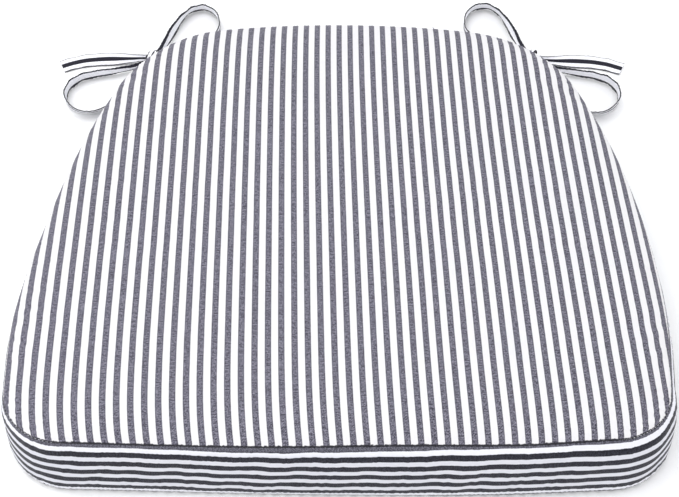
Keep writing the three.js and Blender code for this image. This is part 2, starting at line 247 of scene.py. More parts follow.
class Graph:
    """A node material, with short ways to add what the finishes below need."""

    def __init__(self, name):
        self.material = bpy.data.materials.new(name)
        self.material.use_nodes = True
        self.tree = self.material.node_tree
        self.shader = self.tree.nodes["Principled BSDF"]

    def add(self, kind, values=(), **settings):
        node = self.tree.nodes.new(kind)
        for key, value in settings.items():
            setattr(node, key, value)
        for key, value in dict(values).items():
            self.put(node.inputs[key], value)
        return node

    def put(self, socket, value):
        if isinstance(value, Value):
            value = value.socket
        if isinstance(value, bpy.types.NodeSocket):
            self.tree.links.new(value, socket)
        elif isinstance(value, tuple) and socket.type == "RGBA":
            socket.default_value = (*value, 1)
        else:
            socket.default_value = value

    def math(self, operation, *values, clamp=False):
        node = self.add("ShaderNodeMath", enumerate(values), operation=operation, use_clamp=clamp)
        return Value(self, node.outputs[0])

    def combine(self, x, y):
        return self.add("ShaderNodeCombineXYZ", {"X": x, "Y": y}).outputs[0]

    def attribute(self, name):
        """The three numbers of a mesh attribute."""
        vector = self.add("ShaderNodeAttribute", attribute_name=name).outputs["Vector"]
        parts = self.add("ShaderNodeSeparateXYZ", {"Vector": vector})
        return [Value(self, output) for output in parts.outputs]

    def place(self):
        """The place in the piece itself, in metres."""
        return self.add("ShaderNodeTexCoord").outputs["Object"]

    def noise(self, vector, scale, detail=2.0, roughness=0.5):
        values = {"Vector": vector, "Scale": scale, "Detail": detail, "Roughness": roughness}
        return Value(self, self.add("ShaderNodeTexNoise", values).outputs["Fac"])

    def ramp(self, value, low, high, to_low=0.0, to_high=1.0, smooth=True):
        values = {"Value": value, "From Min": low, "From Max": high, "To Min": to_low, "To Max": to_high}
        kind = "SMOOTHSTEP" if smooth else "LINEAR"
        return Value(self, self.add("ShaderNodeMapRange", values, interpolation_type=kind).outputs["Result"])

    def mix(self, factor, first, second):
        node = self.add("ShaderNodeMix", data_type="RGBA")
        self.put(node.inputs["Factor"], factor)
        self.put(node.inputs[6], first)
        self.put(node.inputs[7], second)
        return node.outputs[2]

    def bump(self, height, distance, strength):
        values = {"Height": height, "Distance": distance, "Strength": strength}
        return self.add("ShaderNodeBump", values).outputs["Normal"]

    def surface(self, color, roughness, metallic=0.0, sheen=0.0, specular=0.5, normal=None):
        values = {"Base Color": color, "Roughness": roughness, "Metallic": metallic,
                  "Specular IOR Level": specular, "Sheen Weight": sheen, "Sheen Roughness": 0.45}
        if normal is not None:
            values["Normal"] = normal
        for key, value in values.items():
            self.put(self.shader.inputs[key], value)
        return self.material


def weave(graph, across, along):
    """A 2/1 twill: where a weft thread shows, from 0 to 1, and the height of the threads."""
    column = across / YARN
    row = along / YARN
    step = (graph.math("FLOOR", column) - graph.math("FLOOR", row)) / 3.0
    weft = graph.math("LESS_THAN", graph.math("FRACT", step + 0.001), 0.3)
    warp_height = graph.math("SINE", graph.math("FRACT", column) * math.pi)
    weft_height = graph.math("SINE", graph.math("FRACT", row) * math.pi)
    return weft, warp_height * (1.0 - weft) + weft_height * (weft * 0.8)


STRIPE_BLUR = 0.16          # half of the width over which a stripe fades into the next
STRIPE_RAGGED = 0.42        # unevenness of its edges
# The dark stripes painted paler near a seam: painted light, where the band turns up towards the light below
# its top seam.
PAINTED_SEAM_LIGHT_DARK = (0.05, 0.049, 0.065)
PAINTED_SEAM_LIGHT_SPECK = (0.2, 0.195, 0.24)


def striped_cloth(name, dark, speck, white, shade, share, groove_shade_width, seam_light):
    """Woven stripes. The mesh's fabric attribute holds millimetres across and along the stripes, with a
    dark stripe at each multiple of STRIPE, share of it wide, and the distance from the nearest seam. The
    cloth is painted dark within the groove width of a seam, painted shade in the seam's groove, and the
    last argument says how much paler the cloth is painted near a seam, painted light where the band turns up
    to the light."""
    graph = Graph(name)
    across, along, seam = graph.attribute("fabric")
    place = graph.combine(across, along)
    half = STRIPE * share / 2
    ragged = graph.noise(graph.combine(across, along * 2.2), 1.1, 3) - 0.5
    cycle = graph.math("FRACT", (across + ragged * STRIPE_RAGGED) / STRIPE + 0.5)
    off = graph.math("ABSOLUTE", cycle - 0.5) * STRIPE
    in_dark = graph.ramp(off, half + STRIPE_BLUR, half - STRIPE_BLUR)

    # Pale weft flecks show through the dark stripes, fewer towards their edges.
    weft, height = weave(graph, across, along)
    bars = graph.noise(graph.combine(across * 0.24, along * 0.95), 1.0, 2, 0.6)
    flecks = graph.noise(place, 1.0, 1)
    amount = weft * 0.2 + graph.ramp(bars, 0.36, 0.64, -0.1, 0.32)
    amount = amount + graph.ramp(flecks, 0.36, 0.64, -0.05, 0.5)
    amount = graph.math("MULTIPLY", amount, graph.ramp(off, half - 1.0, half, 1.0, 0.6), clamp=True)
    # Painted light: the dark stripes are painted lighter to the left, where the key light falls, and darker
    # to the right.
    painted_light_from_left = graph.ramp(across, -220.0, 220.0, 1.0, 0.0, smooth=False)
    dark_cloth = graph.mix(amount, graph.mix(painted_light_from_left, toned(dark, 0.85), toned(dark, 1.25)), speck)
    # Painted light: near a seam the dark stripes are painted paler, where the band turns up towards the
    # light.
    painted_lit_dark = graph.mix(amount, PAINTED_SEAM_LIGHT_DARK, PAINTED_SEAM_LIGHT_SPECK)
    dark_cloth = graph.mix(graph.ramp(seam, 2.6, 5.0, seam_light, 0.0), dark_cloth, painted_lit_dark)

    slub = graph.noise(graph.combine(across * 2.4, along * 0.35), 1.0, 3)
    broad = graph.noise(place, 0.021, 3)
    white_cloth = graph.mix(graph.ramp(slub * 0.6 + broad * 0.4, 0.3, 0.75), white, shade)
    # Painted light: near a seam the white stripes are painted brighter as well.
    white_cloth = graph.mix(graph.ramp(seam, 5.0, 9.0, seam_light, 0.0), white_cloth, toned(white, 1.16))

    # Painted shade: a dark line along each seam's groove, its edge made ragged by noise.
    groove_shade_ragged = graph.noise(graph.place(), 620.0) - 0.5
    clear_of_groove_shade = graph.ramp(seam + groove_shade_ragged * 0.9, groove_shade_width - 0.15, groove_shade_width + 0.15)
    color = graph.mix(clear_of_groove_shade, toned(dark, 0.5), graph.mix(in_dark, white_cloth, dark_cloth))
    fuzz = graph.noise(place, 2.6, 4, 0.7)
    roughness = graph.ramp(fuzz, 0.2, 0.8, 0.82, 0.96, smooth=False)
    normal = graph.bump(height * 0.6 + fuzz * 0.9 + slub * 0.7, YARN_DEPTH, 0.85)
    return graph.surface(color, roughness, sheen=0.18, specular=0.22, normal=normal)


def tie_cloth():
    """The ties' fabric attribute holds millimetres across and along the tape, and 1 on the face and -1
    on the back."""
    graph = Graph("tie_cloth")
    across, along, face = graph.attribute("fabric")
    ragged = graph.noise(graph.combine(across, along), 0.9) - 0.5
    off = graph.math("ABSOLUTE", across) + ragged * 0.5
    stripe = graph.ramp(off, TIE_DARK_HALF + 0.15, TIE_DARK_HALF - 0.15)
    edge = graph.ramp(off, TIE_WIDTH / 2 - 0.95, TIE_WIDTH / 2 - 0.45, 0.0, 0.9)
    face_dark = graph.math("MAXIMUM", stripe, edge)
    wavy = across + ragged * 1.3
    low_dark, high_dark = (graph.ramp(wavy, end - side * 0.15, end + side * 0.15)
                           for end, side in zip(TIE_BACK_WHITE, (-1, 1)))
    back_dark = graph.math("MAXIMUM", low_dark, high_dark)
    is_face = graph.math("GREATER_THAN", face, 0.0)
    dark = is_face * face_dark + (1.0 - is_face) * back_dark
    weft, height = weave(graph, across, along)
    slub = graph.noise(graph.combine(across * 2.4, along * 0.4), 1.0, 3)
    navy = graph.mix(weft * graph.ramp(slub, 0.3, 0.8, 0.05, 0.3), srgb(24, 23, 34), srgb(104, 102, 118))
    cream = graph.mix(graph.ramp(slub, 0.3, 0.8), srgb(250, 250, 253), srgb(239, 239, 247))
    normal = graph.bump(height * 0.6 + slub * 1.2, YARN_DEPTH, 0.8)
    return graph.surface(graph.mix(dark, cream, navy), 0.88, sheen=0.15, specular=0.22, normal=normal)


def grainy(name, color, other, roughness, scale, depth, **more):
    """A plain finish broken up by noise."""
    graph = Graph(name)
    coarse = graph.noise(graph.place(), scale, 3)
    fine = graph.noise(graph.place(), scale * 6, 4, 0.65)
    tone = graph.mix(graph.ramp(coarse, 0.35, 0.65), color, other)
    shine = graph.ramp(fine, 0.3, 0.7, roughness * 0.85, min(1.0, roughness * 1.12))
    return graph.surface(tone, shine, normal=graph.bump(coarse * 0.6 + fine, depth, 0.7), **more)


def foam_finish():
    """Open-celled foam."""
    graph = Graph("foam")
    voronoi = graph.add("ShaderNodeTexVoronoi", {"Vector": graph.place(), "Scale": 900.0})
    cells = voronoi.outputs["Distance"]
    tone = graph.mix(graph.ramp(cells, 0.05, 0.5), srgb(196, 180, 128), srgb(240, 230, 196))
    return graph.surface(tone, 0.95, specular=0.1, normal=graph.bump(cells, 0.0006, 0.8))


def fibre_finish():
    """Carded polyester fibre."""
    graph = Graph("fibre")
    drawn = graph.add("ShaderNodeMapping", {"Vector": graph.place(), "Scale": (40.0, 400.0, 160.0)})
    strands = graph.noise(drawn.outputs[0], 3.0, 6, 0.75)
    tone = graph.mix(graph.ramp(strands, 0.35, 0.7), srgb(224, 225, 226), srgb(250, 250, 250))
    return graph.surface(tone, 0.9, sheen=0.3, specular=0.15, normal=graph.bump(strands, 0.0008, 0.9))


def zip_tape_finish():
    """Herringbone tape. The fabric attribute holds millimetres along and across the tape."""
    graph = Graph("zip_tape")
    along, across, _ = graph.attribute("fabric")
    rib = graph.math("FRACT", (along + graph.math("PINGPONG", across, 1.2)) / 0.8)
    height = graph.math("SINE", rib * math.pi)
    tone = graph.mix(height, srgb(30, 32, 46), srgb(58, 61, 84))
    return graph.surface(tone, 0.85, sheen=0.2, specular=0.25, normal=graph.bump(height, 0.0002, 0.9))


FINISHES = {
    "stripe_cloth": striped_cloth(
        "stripe_cloth", dark=(0.037, 0.034, 0.050), speck=(0.267, 0.258, 0.318), white=(0.755, 0.745, 0.75),
        shade=(0.70, 0.69, 0.71), share=DARK_SHARE, groove_shade_width=0.35, seam_light=0.0),
    # The band's copy of the striped cloth is painted darker and bluer than the top's: painted shade on its
    # upright sides.
    "boxing_cloth": striped_cloth(
        "boxing_cloth", dark=(0.003, 0.003, 0.007), speck=(0.032, 0.032, 0.048), white=(0.68, 0.68, 0.725),
        shade=(0.60, 0.60, 0.66), share=BOXING_DARK_SHARE, groove_shade_width=0.3, seam_light=0.9),
    "tie_cloth": tie_cloth(),
    "foam": foam_finish(),
    "fibre": fibre_finish(),
    "thread": grainy("thread", srgb(244, 244, 247), srgb(214, 214, 224), 0.6, 900.0, 0.00006, sheen=0.2),
    "zip_tape": zip_tape_finish(),
    "zip_nylon": grainy("zip_nylon", srgb(48, 50, 70), srgb(66, 69, 94), 0.38, 400.0, 0.00003),
    "zip_metal": grainy(
        "zip_metal", srgb(196, 197, 200), srgb(150, 151, 156), 0.28, 260.0, 0.00003, metallic=1.0),
}


# ---------------- meshes

def make_piece(name, shape, slot, body, node, thickness=0.0):
    """A smooth piece with its finish, its body and the CAD node it stands for. Its shape is points and
    faces, and the fabric of each point where its finish needs it."""
    points, faces, *fabric = shape
    mesh = new_mesh(name, points, faces)
    mesh.polygons.foreach_set("use_smooth", [True] * len(mesh.polygons))
    if fabric and fabric[0].size:
        layer = mesh.attributes.new("fabric", "FLOAT_VECTOR", "POINT")
        layer.data.foreach_set("vector", np.asarray(fabric[0], np.float32).ravel())
    mesh.materials.append(FINISHES[slot])
    mesh.update()
    piece = add_object(name, mesh)
    if thickness:
        solid = piece.modifiers.new("thickness", "SOLIDIFY")
        solid.thickness = thickness * MM
        solid.offset = -1
    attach(piece, body)
    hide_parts(node)
    return piece


def make_cover(name, rows, slot, node, **closing):
    """A padded panel of cloth from its rows."""
    make_piece(name, row_mesh(rows, **closing), slot, "pad", node, CLOTH)


def row_of(flat, *numbers):
    """A row of points with more numbers beside them. A single number holds all along the row."""
    return np.column_stack([flat, *(np.broadcast_to(number, len(flat)) for number in numbers)])


def span_faces(low_start, low_count, high_start, high_count, closed):
    """Faces between two rows of points. One row may have twice as many segments as the other."""
    low_parts = low_count if closed else low_count - 1
    high_parts = high_count if closed else high_count - 1
    parts = min(low_parts, high_parts)
    low_step, high_step = low_parts // parts, high_parts // parts
    faces = []
    for j in range(parts):
        low = [low_start + (j * low_step + k) % low_count for k in range(low_step + 1)]
        high = [high_start + (j * high_step + k) % high_count for k in range(high_step + 1)]
        faces.append(low + high[::-1])
    return faces


def row_mesh(rows, closed=True, first_pole=False, last_pole=False):
    """Points, faces and fabric from rows of (points and fabric) side by side. A pole closes an end."""
    starts = np.cumsum([0] + [len(row) for row in rows])
    faces = []
    for k in range(len(rows) - 1):
        faces += span_faces(starts[k], len(rows[k]), starts[k + 1], len(rows[k + 1]), closed)
    table = np.vstack(rows)
    for pole, k in ((first_pole, 0), (last_pole, len(rows) - 1)):
        if not pole:
            continue
        tip, count = len(table), len(rows[k])
        table = np.vstack([table, rows[k].mean(0)])
        for j in range(count):
            a, b = starts[k] + j, starts[k] + (j + 1) % count
            faces.append((a, b, tip) if k else (b, a, tip))
    return table[:, :3], faces, table[:, 3:6]


# ---------------- the outline

class Outline:
    """The pad's plan outline. Places on it are distances from the middle of the front, positive to the
    right, and half is the distance to the middle of the rear."""

    def __init__(self):
        x, y, heading, arcs = 0.0, 0.0, 0.0, []
        for radius, degrees in OUTLINE_ARCS:
            centre = (x - radius * math.sin(heading), y + radius * math.cos(heading))
            arcs.append((*centre, radius, heading, math.radians(degrees)))
            heading = math.radians(degrees)
            x, y = centre[0] + radius * math.sin(heading), centre[1] - radius * math.cos(heading)
        radius = x / math.sin(heading)
        arcs.append((0.0, y + radius * math.cos(heading), radius, heading, math.pi))
        self.arcs = np.array(arcs)
        depth = arcs[-1][1] + radius
        self.arcs[:, 1] -= depth / 2
        self.ends = np.cumsum(self.arcs[:, 2] * (self.arcs[:, 4] - self.arcs[:, 3]))
        self.half = self.ends[-1]
        self.front = -depth / 2
        self.rear_radius = radius

    def wrapped(self, places):
        return (np.asarray(places, float) + self.half) % (2 * self.half) - self.half

    def at(self, places):
        """Points and outward directions, each as (n, 2)."""
        places = self.wrapped(places)
        side = np.where(places < 0, -1.0, 1.0)
        along = np.abs(places)
        index = np.minimum(np.searchsorted(self.ends, along), len(self.ends) - 1)
        cx, cy, radius, start, _ = self.arcs[index].T
        heading = start + (along - np.concatenate([[0], self.ends[:-1]])[index]) / radius
        outward = np.stack([side * np.sin(heading), -np.cos(heading)], 1)
        points = np.stack([side * (cx + radius * np.sin(heading)), cy - radius * np.cos(heading)], 1)
        return points + outward * self.eased(places, OUTLINE_EASE)[:, None], outward

    def eased(self, places, table):
        """A table of (share of the way round, mm), smoothly joined up, at some places."""
        share = (np.asarray(places, float) / self.half + 1) / 2 % 1
        at, value = np.array(table).T
        at = np.concatenate([at[-3:] - 1, at, at[:3] + 1])
        value = np.concatenate([value[-3:], value, value[:3]])
        slope = np.gradient(value, at)
        k = np.clip(np.searchsorted(at, share) - 1, 0, len(at) - 2)
        span = at[k + 1] - at[k]
        return hermite((share - at[k]) / span, span, value[k], value[k + 1], slope[k], slope[k + 1])

    def seam_ease(self, places):
        return self.eased(places, SEAM_EASE)

    def corner(self, places):
        """1 in the corners and 0 along the edges, smoothly."""
        along = np.abs(self.wrapped(places))
        share = np.zeros_like(along)
        for first, last, weight in ((self.ends[0], self.ends[1], 1.0), (self.ends[2], self.ends[3], 0.5)):
            middle, reach = (first + last) / 2, (last - first) / 2 + 14
            share += weight * smoothstep(1.6 * (1 - np.abs(along - middle) / reach))
        return np.clip(share, 0, 1)


OUTLINE = Outline()
PERIMETER = 2 * OUTLINE.half
STITCHES = 8 * round(PERIMETER / STITCH / 8)
ZIP_HALF = math.radians(ZIP_HALF_ANGLE) * OUTLINE.rear_radius      # along the outline


def columns(level):
    """Places of the columns of points round the pad; each level has half the columns of the last."""
    count = 4 * STITCHES >> level
    return (np.arange(count) / count - 0.5) * PERIMETER


# ---------------- cloth simulation

SETTLE_FRAMES = 14
HELD_WITHIN = 0.6           # cloth this near its seam doesn't move
HELD_FADE = 3.0             # and this much further from it is free


def hold(from_seam):
    """How firmly the cloth is held at a distance from its seam, from 1 to 0."""
    return float(np.clip(1 - (from_seam - HELD_WITHIN) / HELD_FADE, 0, 1))


def add_cloth(panel, fullness):
    cloth = panel.modifiers.new("cloth", "CLOTH")
    cloth.settings.vertex_group_mass = "seam"
    cloth.settings.quality = 4
    cloth.settings.mass = 0.2
    cloth.settings.bending_stiffness = 0.3
    cloth.settings.shrink_min = -fullness
    cloth.settings.use_pressure = True
    cloth.settings.uniform_pressure_force = 4.0
    cloth.settings.effector_weights.gravity = 0.0
    cloth.collision_settings.use_collision = False
    cloth.point_cache.frame_end = SETTLE_FRAMES


def settle(rows, closed, held, fullness, cap):
    """Lets a panel of cloth, held at its seams, find its own creases over the filling that presses on it.

    rows are rows of points side by side and held says how firmly each row is held. The panel is cut fuller
    than its place, by fullness. The swell that is alike all along a row is already in the panel's shape,
    so only the unevenness is kept, square to the surface and no further than cap.
    """
    free = [k for k, weight in enumerate(held) if weight < 1]
    first, last = free[0] - 1, min(free[-1] + 2, len(rows))
    before, rows, behind, held = rows[:first], rows[first:last], rows[last:], held[first:last]
    points, faces, _ = row_mesh(rows, closed=closed, last_pole=closed)
    mesh = new_mesh("settling", points, faces)
    panel = add_object("settling", mesh)
    seam = panel.vertex_groups.new(name="seam")
    starts = [int(start) for start in np.cumsum([0] + [len(row) for row in rows])]
    for k, weight in enumerate(held):
        seam.add(list(range(starts[k], starts[k + 1])), weight, "REPLACE")
        if not closed:
            seam.add([starts[k], starts[k + 1] - 1], 1.0, "REPLACE")
    add_cloth(panel, fullness)
    for step in range(1, SETTLE_FRAMES + 1):
        bpy.context.scene.frame_set(step)
    settled = panel.evaluated_get(bpy.context.evaluated_depsgraph_get()).data
    after = np.zeros(len(points) * 3)
    settled.vertices.foreach_get("co", after)
    normals = np.zeros(len(points) * 3)
    mesh.vertices.foreach_get("normal", normals)
    after, normals = after.reshape(-1, 3) / MM, normals.reshape(-1, 3)
    bpy.data.objects.remove(panel)
    bpy.data.meshes.remove(mesh)
    bpy.context.scene.frame_set(1)
    swell = ((after - points) * normals).sum(1)
    made = []
    for k, row in enumerate(rows):
        part = slice(starts[k], starts[k + 1])
        uneven = np.clip(swell[part] - swell[part].mean(), -cap, cap)
        moved = row.copy()
        moved[:, :3] += normals[part] * uneven[:, None]
        made.append(moved)
    return before + made + behind


# ---------------- how the cover's cloth lies

def boxing_profile():
    """Inset and height along the boxing's cloth, from the top seam to the bottom one."""
    s = np.linspace(0, BOXING_CLOTH, 400)
    upper = SEAM_INSET * np.clip(1 - s / BULGE_AT, 0, 1) ** BULGE_POWER
    lower = BASE_INSET * np.clip((s - BULGE_AT) / (BOXING_CLOTH - BULGE_AT), 0, 1) ** BULGE_POWER
    inset = upper + lower
    slope = np.gradient(inset, s)
    drop = np.concatenate([[0], np.cumsum(np.sqrt(1 - slope[1:] ** 2) * np.diff(s))])
    height = HIGH_SEAM - drop * (HIGH_SEAM - LOW_SEAM) / drop[-1]
    return s, inset, height


PROFILE = boxing_profile()


def boxing_at_height(height, column):
    """Where the boxing reaches a height: column 0 is the length along its cloth and 1 is the inset."""
    return float(np.interp(-height, -PROFILE[2], PROFILE[column]))


# Height of the puckers between stitches and of the gathers at a seam, as (along an edge, what a corner adds).
TOP_PUCKER = (0.24, 0.28)
TOP_GATHER = (0.06, 0.5)
BAND_PUCKER = (0.2, 0.2)
BAND_GATHER = (0.05, 0.28)
LOW_PUCKER = 0.16           # at the band's bottom seam
BASE_PUCKER = 0.18          # on the bottom panel
PUCKER_RUN = 1.7            # how far from its seam the top panel's puckers fade
BAND_PUCKER_RUN = 1.6
TOP_GATHER_RUN = 9.0
BAND_GATHER_RUN = 8.0


def raised(heights, corner):
    """A height from its pair above, where corner is 0 along an edge and 1 in a corner."""
    return heights[0] + heights[1] * corner


def stitch_pucker(places, seed):
    """Height of the little bulges between stitches, uneven from stitch to stitch."""
    number = places / PERIMETER * STITCHES
    bulge = 0.5 - np.cos(2 * math.pi * number) * 0.5
    return bulge * (0.75 + 0.35 * wobble(np.floor(number) * 2.1, seed))


def gathers(places, seed):
    """Broader uneven folds that run away from the seam, mostly in the corners."""
    return wobble(places * 0.95, seed) * 0.6 + wobble(places * 0.42, seed + 2) * 0.7


def soft_top(flat):
    """Unevenness of the stuffed top."""
    x, y = flat.T
    return 0.28 * wobble2(x / 17, y / 17, 2) + 0.22 * wobble2(x / 7, y / 9, 5)


# The top panel is cut slightly askew and drawn in a little more to the left than to the right. With x from
# its middle and y from its front seam, in units of 100 mm, a place lies this sum of mm * x**i * y**j across
# its stripes. The terms are (i, j, mm).
STRIPE_LIE = (
    (0, 0, -6.2), (1, 0, 100.0), (0, 1, 1.7), (2, 0, 1.1), (1, 1, 0.25), (0, 2, 1.0),
    (3, 0, -0.1), (2, 1, 0.12), (0, 3, -0.18),
)
STRIPE_EASE = (-3.2, 1.8)   # the same near the front seam, for i of 0 and 1
STRIPE_EASE_RUN = 0.33


def top_fabric(flat):
    """Across and along the stripes for a place on the flat panel."""
    x = flat[:, 0] / 100
    y = (flat[:, 1] - OUTLINE.front - SEAM_INSET) / 100
    eased = (STRIPE_EASE[0] + STRIPE_EASE[1] * x) * np.exp(-np.clip(y, 0, None) / STRIPE_EASE_RUN)
    return sum(mm * x ** i * y ** j for i, j, mm in STRIPE_LIE) + eased, 100 * y


CROWN_S = np.linspace(0, 1, 300)
CROWN_X = CROWN_RUN * (1 - np.cos(CROWN_S * math.pi / 2))
CROWN_Z = CROWN_RISE * np.sin(CROWN_S * math.pi / 2)
CROWN_LENGTH = distance_along(np.column_stack([CROWN_X, CROWN_Z]))


def top_inward(rim, outward, seam, run):
    """A place run millimetres inside the top seam, on the line to the middle of the panel."""
    start = rim - outward * seam[:, None]
    away = unit(start)
    square = np.clip((away * outward).sum(1), 0.72, 1)
    return start - away * (run / square)[:, None]


def top_row(level, run):
    """A row of the top panel's rounded edge, run from its seam (below 0 it is turned into the seam)."""
    places = columns(level)
    rim, outward = OUTLINE.at(places)
    seam = SEAM_INSET + OUTLINE.seam_ease(places)
    corner = OUTLINE.corner(places)
    t = max(run, 0.0)
    excess = (CROWN_LENGTH[-1] - np.interp(t, CROWN_X, CROWN_LENGTH)) - (CROWN_RUN - t)
    lift = stitch_pucker(places, 1) * raised(TOP_PUCKER, corner) * math.exp(-t / PUCKER_RUN)
    fading = math.exp(-t / TOP_GATHER_RUN) * (1 - math.exp(-t / 0.8))
    lift = lift + gathers(places, 4) * raised(TOP_GATHER, corner) * fading
    steep = math.atan2(CROWN_RISE * math.sqrt(1 - (1 - t / CROWN_RUN) ** 2) + 0.001, t + 0.4)
    plain = top_inward(rim, outward, seam, t)
    flat = plain + outward * (lift * math.sin(steep))[:, None]
    rise = np.interp(t, CROWN_X, CROWN_Z) + soft_top(flat) * smoothstep(t / CROWN_RUN)
    height = HIGH_SEAM + rise + lift * math.cos(steep)
    if run < 0:
        flat = rim - outward * (seam - run * TURN_IN)[:, None]
        height = HIGH_SEAM + run * 1.2
    return row_of(flat, height, *top_fabric(plain + outward * excess), run)


def inner_row(level, share):
    """A row of the top panel inside its rounded edge; share runs from 1 at the edge to 0 in the middle."""
    places = columns(level)
    rim, outward = OUTLINE.at(places)
    flat = top_inward(rim, outward, SEAM_INSET + OUTLINE.seam_ease(places), CROWN_RUN) * share
    height = HIGH_SEAM + CROWN_RISE + DOME_RISE * (1 - share ** 2) + soft_top(flat)
    return row_of(flat, height, *top_fabric(flat), CROWN_RUN)


TOP_FULLNESS = 0.03         # how much fuller the cloth is than the place it covers
TOP_CREASE = 0.42           # deepest crease
# Rows of points as (level of columns, distances from the seam), then as (level, shares of the inner part).
TOP_EDGE_ROWS = (
    (0, (-1.0, -0.4, 0.0, 0.12, 0.3, 0.55, 0.9, 1.35, 1.9, 2.6, 3.5, 4.6, 6.0)),
    (1, (7.6, 9.6, 12.0, 15.0, 18.5, 22.5, 27.0, 31.0, 34.0)),
)
TOP_INNER_ROWS = (
    (2, (0.965, 0.92, 0.87, 0.81, 0.75, 0.69, 0.62, 0.55, 0.48, 0.4, 0.32)),
    (3, (0.24, 0.16, 0.08, 0.03)),
)


def make_top():
    edge = [top_row(level, run) for level, runs in TOP_EDGE_ROWS for run in runs]
    inner = [inner_row(level, share) for level, shares in TOP_INNER_ROWS for share in shares]
    held = [hold(run) for _, runs in TOP_EDGE_ROWS for run in runs] + [0.0] * len(inner)
    rows = settle(edge + inner, True, held, TOP_FULLNESS, TOP_CREASE)
    make_cover("cover_top", rows, "stripe_cloth", "top_panel", last_pole=True)


# The band is sewn on a little off its stripes: the middle of the first dark stripe below the top seam, as
# (place from the middle of the front, mm).
STRIPE_DRIFT = ((-400, 1.0), (-115, 0.5), (-57, 2.3), (40, 1.1), (80, -0.1), (115, -0.6), (400, 0.0))


def stripe_drift(places):
    blurred = sum(read_table(STRIPE_DRIFT, places + step) for step in (-12, -6, 0, 6, 12)) / 5
    return blurred + 0.18 * wobble(places / 9, 3) + 0.1 * wobble(places / 3.1, 6)


def boxing_row(places, s):
    """A row of the boxing, s along its cloth from the top seam (outside 0 to 51 it is in a seam)."""
    rim, outward = OUTLINE.at(places)
    corner = OUTLINE.corner(places)
    at = min(max(s, 0.0), BOXING_CLOTH)
    below = BOXING_CLOTH - at
    puckered = raised(BAND_PUCKER, corner) * math.exp(-at / BAND_PUCKER_RUN)
    puckered = puckered + LOW_PUCKER * math.exp(-below / BAND_PUCKER_RUN)
    seam_free = (1 - math.exp(-at / 5)) * (1 - math.exp(-below / 5))
    near_seams = math.exp(-at / BAND_GATHER_RUN) + math.exp(-below / BAND_GATHER_RUN)
    lift = stitch_pucker(places, 7) * puckered
    lift = lift + gathers(places, 9) * raised(BAND_GATHER, corner) * near_seams * seam_free * 2
    lift = lift + 0.3 * wobble(places / 13 + at / 30, 8) * seam_free
    turned = abs(s - at) * TURN_IN
    inset = np.interp(at, PROFILE[0], PROFILE[1]) + turned
    inset = inset + OUTLINE.seam_ease(places) * max(0, 1 - at / BULGE_AT) ** BULGE_POWER
    height = np.interp(at, PROFILE[0], PROFILE[2]) + (turned if s > BOXING_CLOTH else -turned)
    flat = rim - outward * (inset - lift)[:, None]
    return row_of(flat, height, at - stripe_drift(places), places, min(s, BOXING_CLOTH - s))


BOXING_FULLNESS = 0.02
BOXING_CREASE = 0.2
BOXING_ROWS = (
    (1, (51.9, 51.4, 51.0, 50.7, 50.2, 49.5, 48.5, 47.0, 45.0)),
    (2, (42.5, 39.5, 36.0, 32.5, 29.0, 25.5, 22.0, 18.5)),
    (1, (15.0, 12.0, 9.5, 7.5)),
    (0, (6.0, 4.6, 3.5, 2.6, 1.9, 1.35, 0.9, 0.55, 0.3, 0.12, 0.0, -0.4, -0.9)),
)
STRIP_CLOTH = 0.5
# Rows of the two strips over the zip, each with its edge at the window.
STRIP_ROWS = {
    "upper": (
        boxing_at_height(ZIP_HEIGHT + ZIP_WINDOW / 2, 0),
        18, 15.5, 13, 10.5, 8, 6, 4.4, 3.2, 2.2, 1.4, 0.8, 0.3, 0, -0.5, -0.9,
    ),
    "lower": (
        51.9, 51.5, 51, 50.6, 50, 49.2, 48, 46.4, 44.4, 42, 39.5, 37, 34.5, 32.5,
        boxing_at_height(ZIP_HEIGHT - ZIP_WINDOW / 2, 0),
    ),
}
# How the edge at the window is turned under, over the zip's tape, as (inwards, away from the window).
STRIP_HEM = ((0.25, -0.1), (0.9, -0.25), (1.5, 0.1), (1.75, 0.9), (1.8, 3.0), (1.85, 6.0))


BAND_TUCK = 1.6             # how deep the ends of the band and of the strips are turned in
STRIP_TUCK = 1.4


def tuck_ends(row, outward, from_end, depth):
    """Turns the ends of a row in, where the band and the strips meet."""
    row[:, :2] -= outward * (depth * np.exp(-from_end / 0.7))[:, None]


def make_boxing():
    """The band from one end of the zip round the front to the other, and the two strips over the zip."""
    reach = OUTLINE.half - ZIP_HALF - 0.2
    parts = 8 * round(2 * reach / STITCH / 2)
    rows, held = [], []
    for level, lengths in BOXING_ROWS:
        places = np.linspace(-reach, reach, (parts >> level) + 1)
        for s in lengths:
            row = boxing_row(places, s)
            tuck_ends(row, OUTLINE.at(places)[1], reach - np.abs(places), BAND_TUCK)
            rows.append(row)
            held.append(hold(min(s, BOXING_CLOTH - s)))
    rows = settle(rows, False, held, BOXING_FULLNESS, BOXING_CREASE)
    make_cover("cover_boxing", rows, "boxing_cloth", "boxing_band", closed=False)
    for word in ("upper", "lower"):
        make_zip_strip(word)


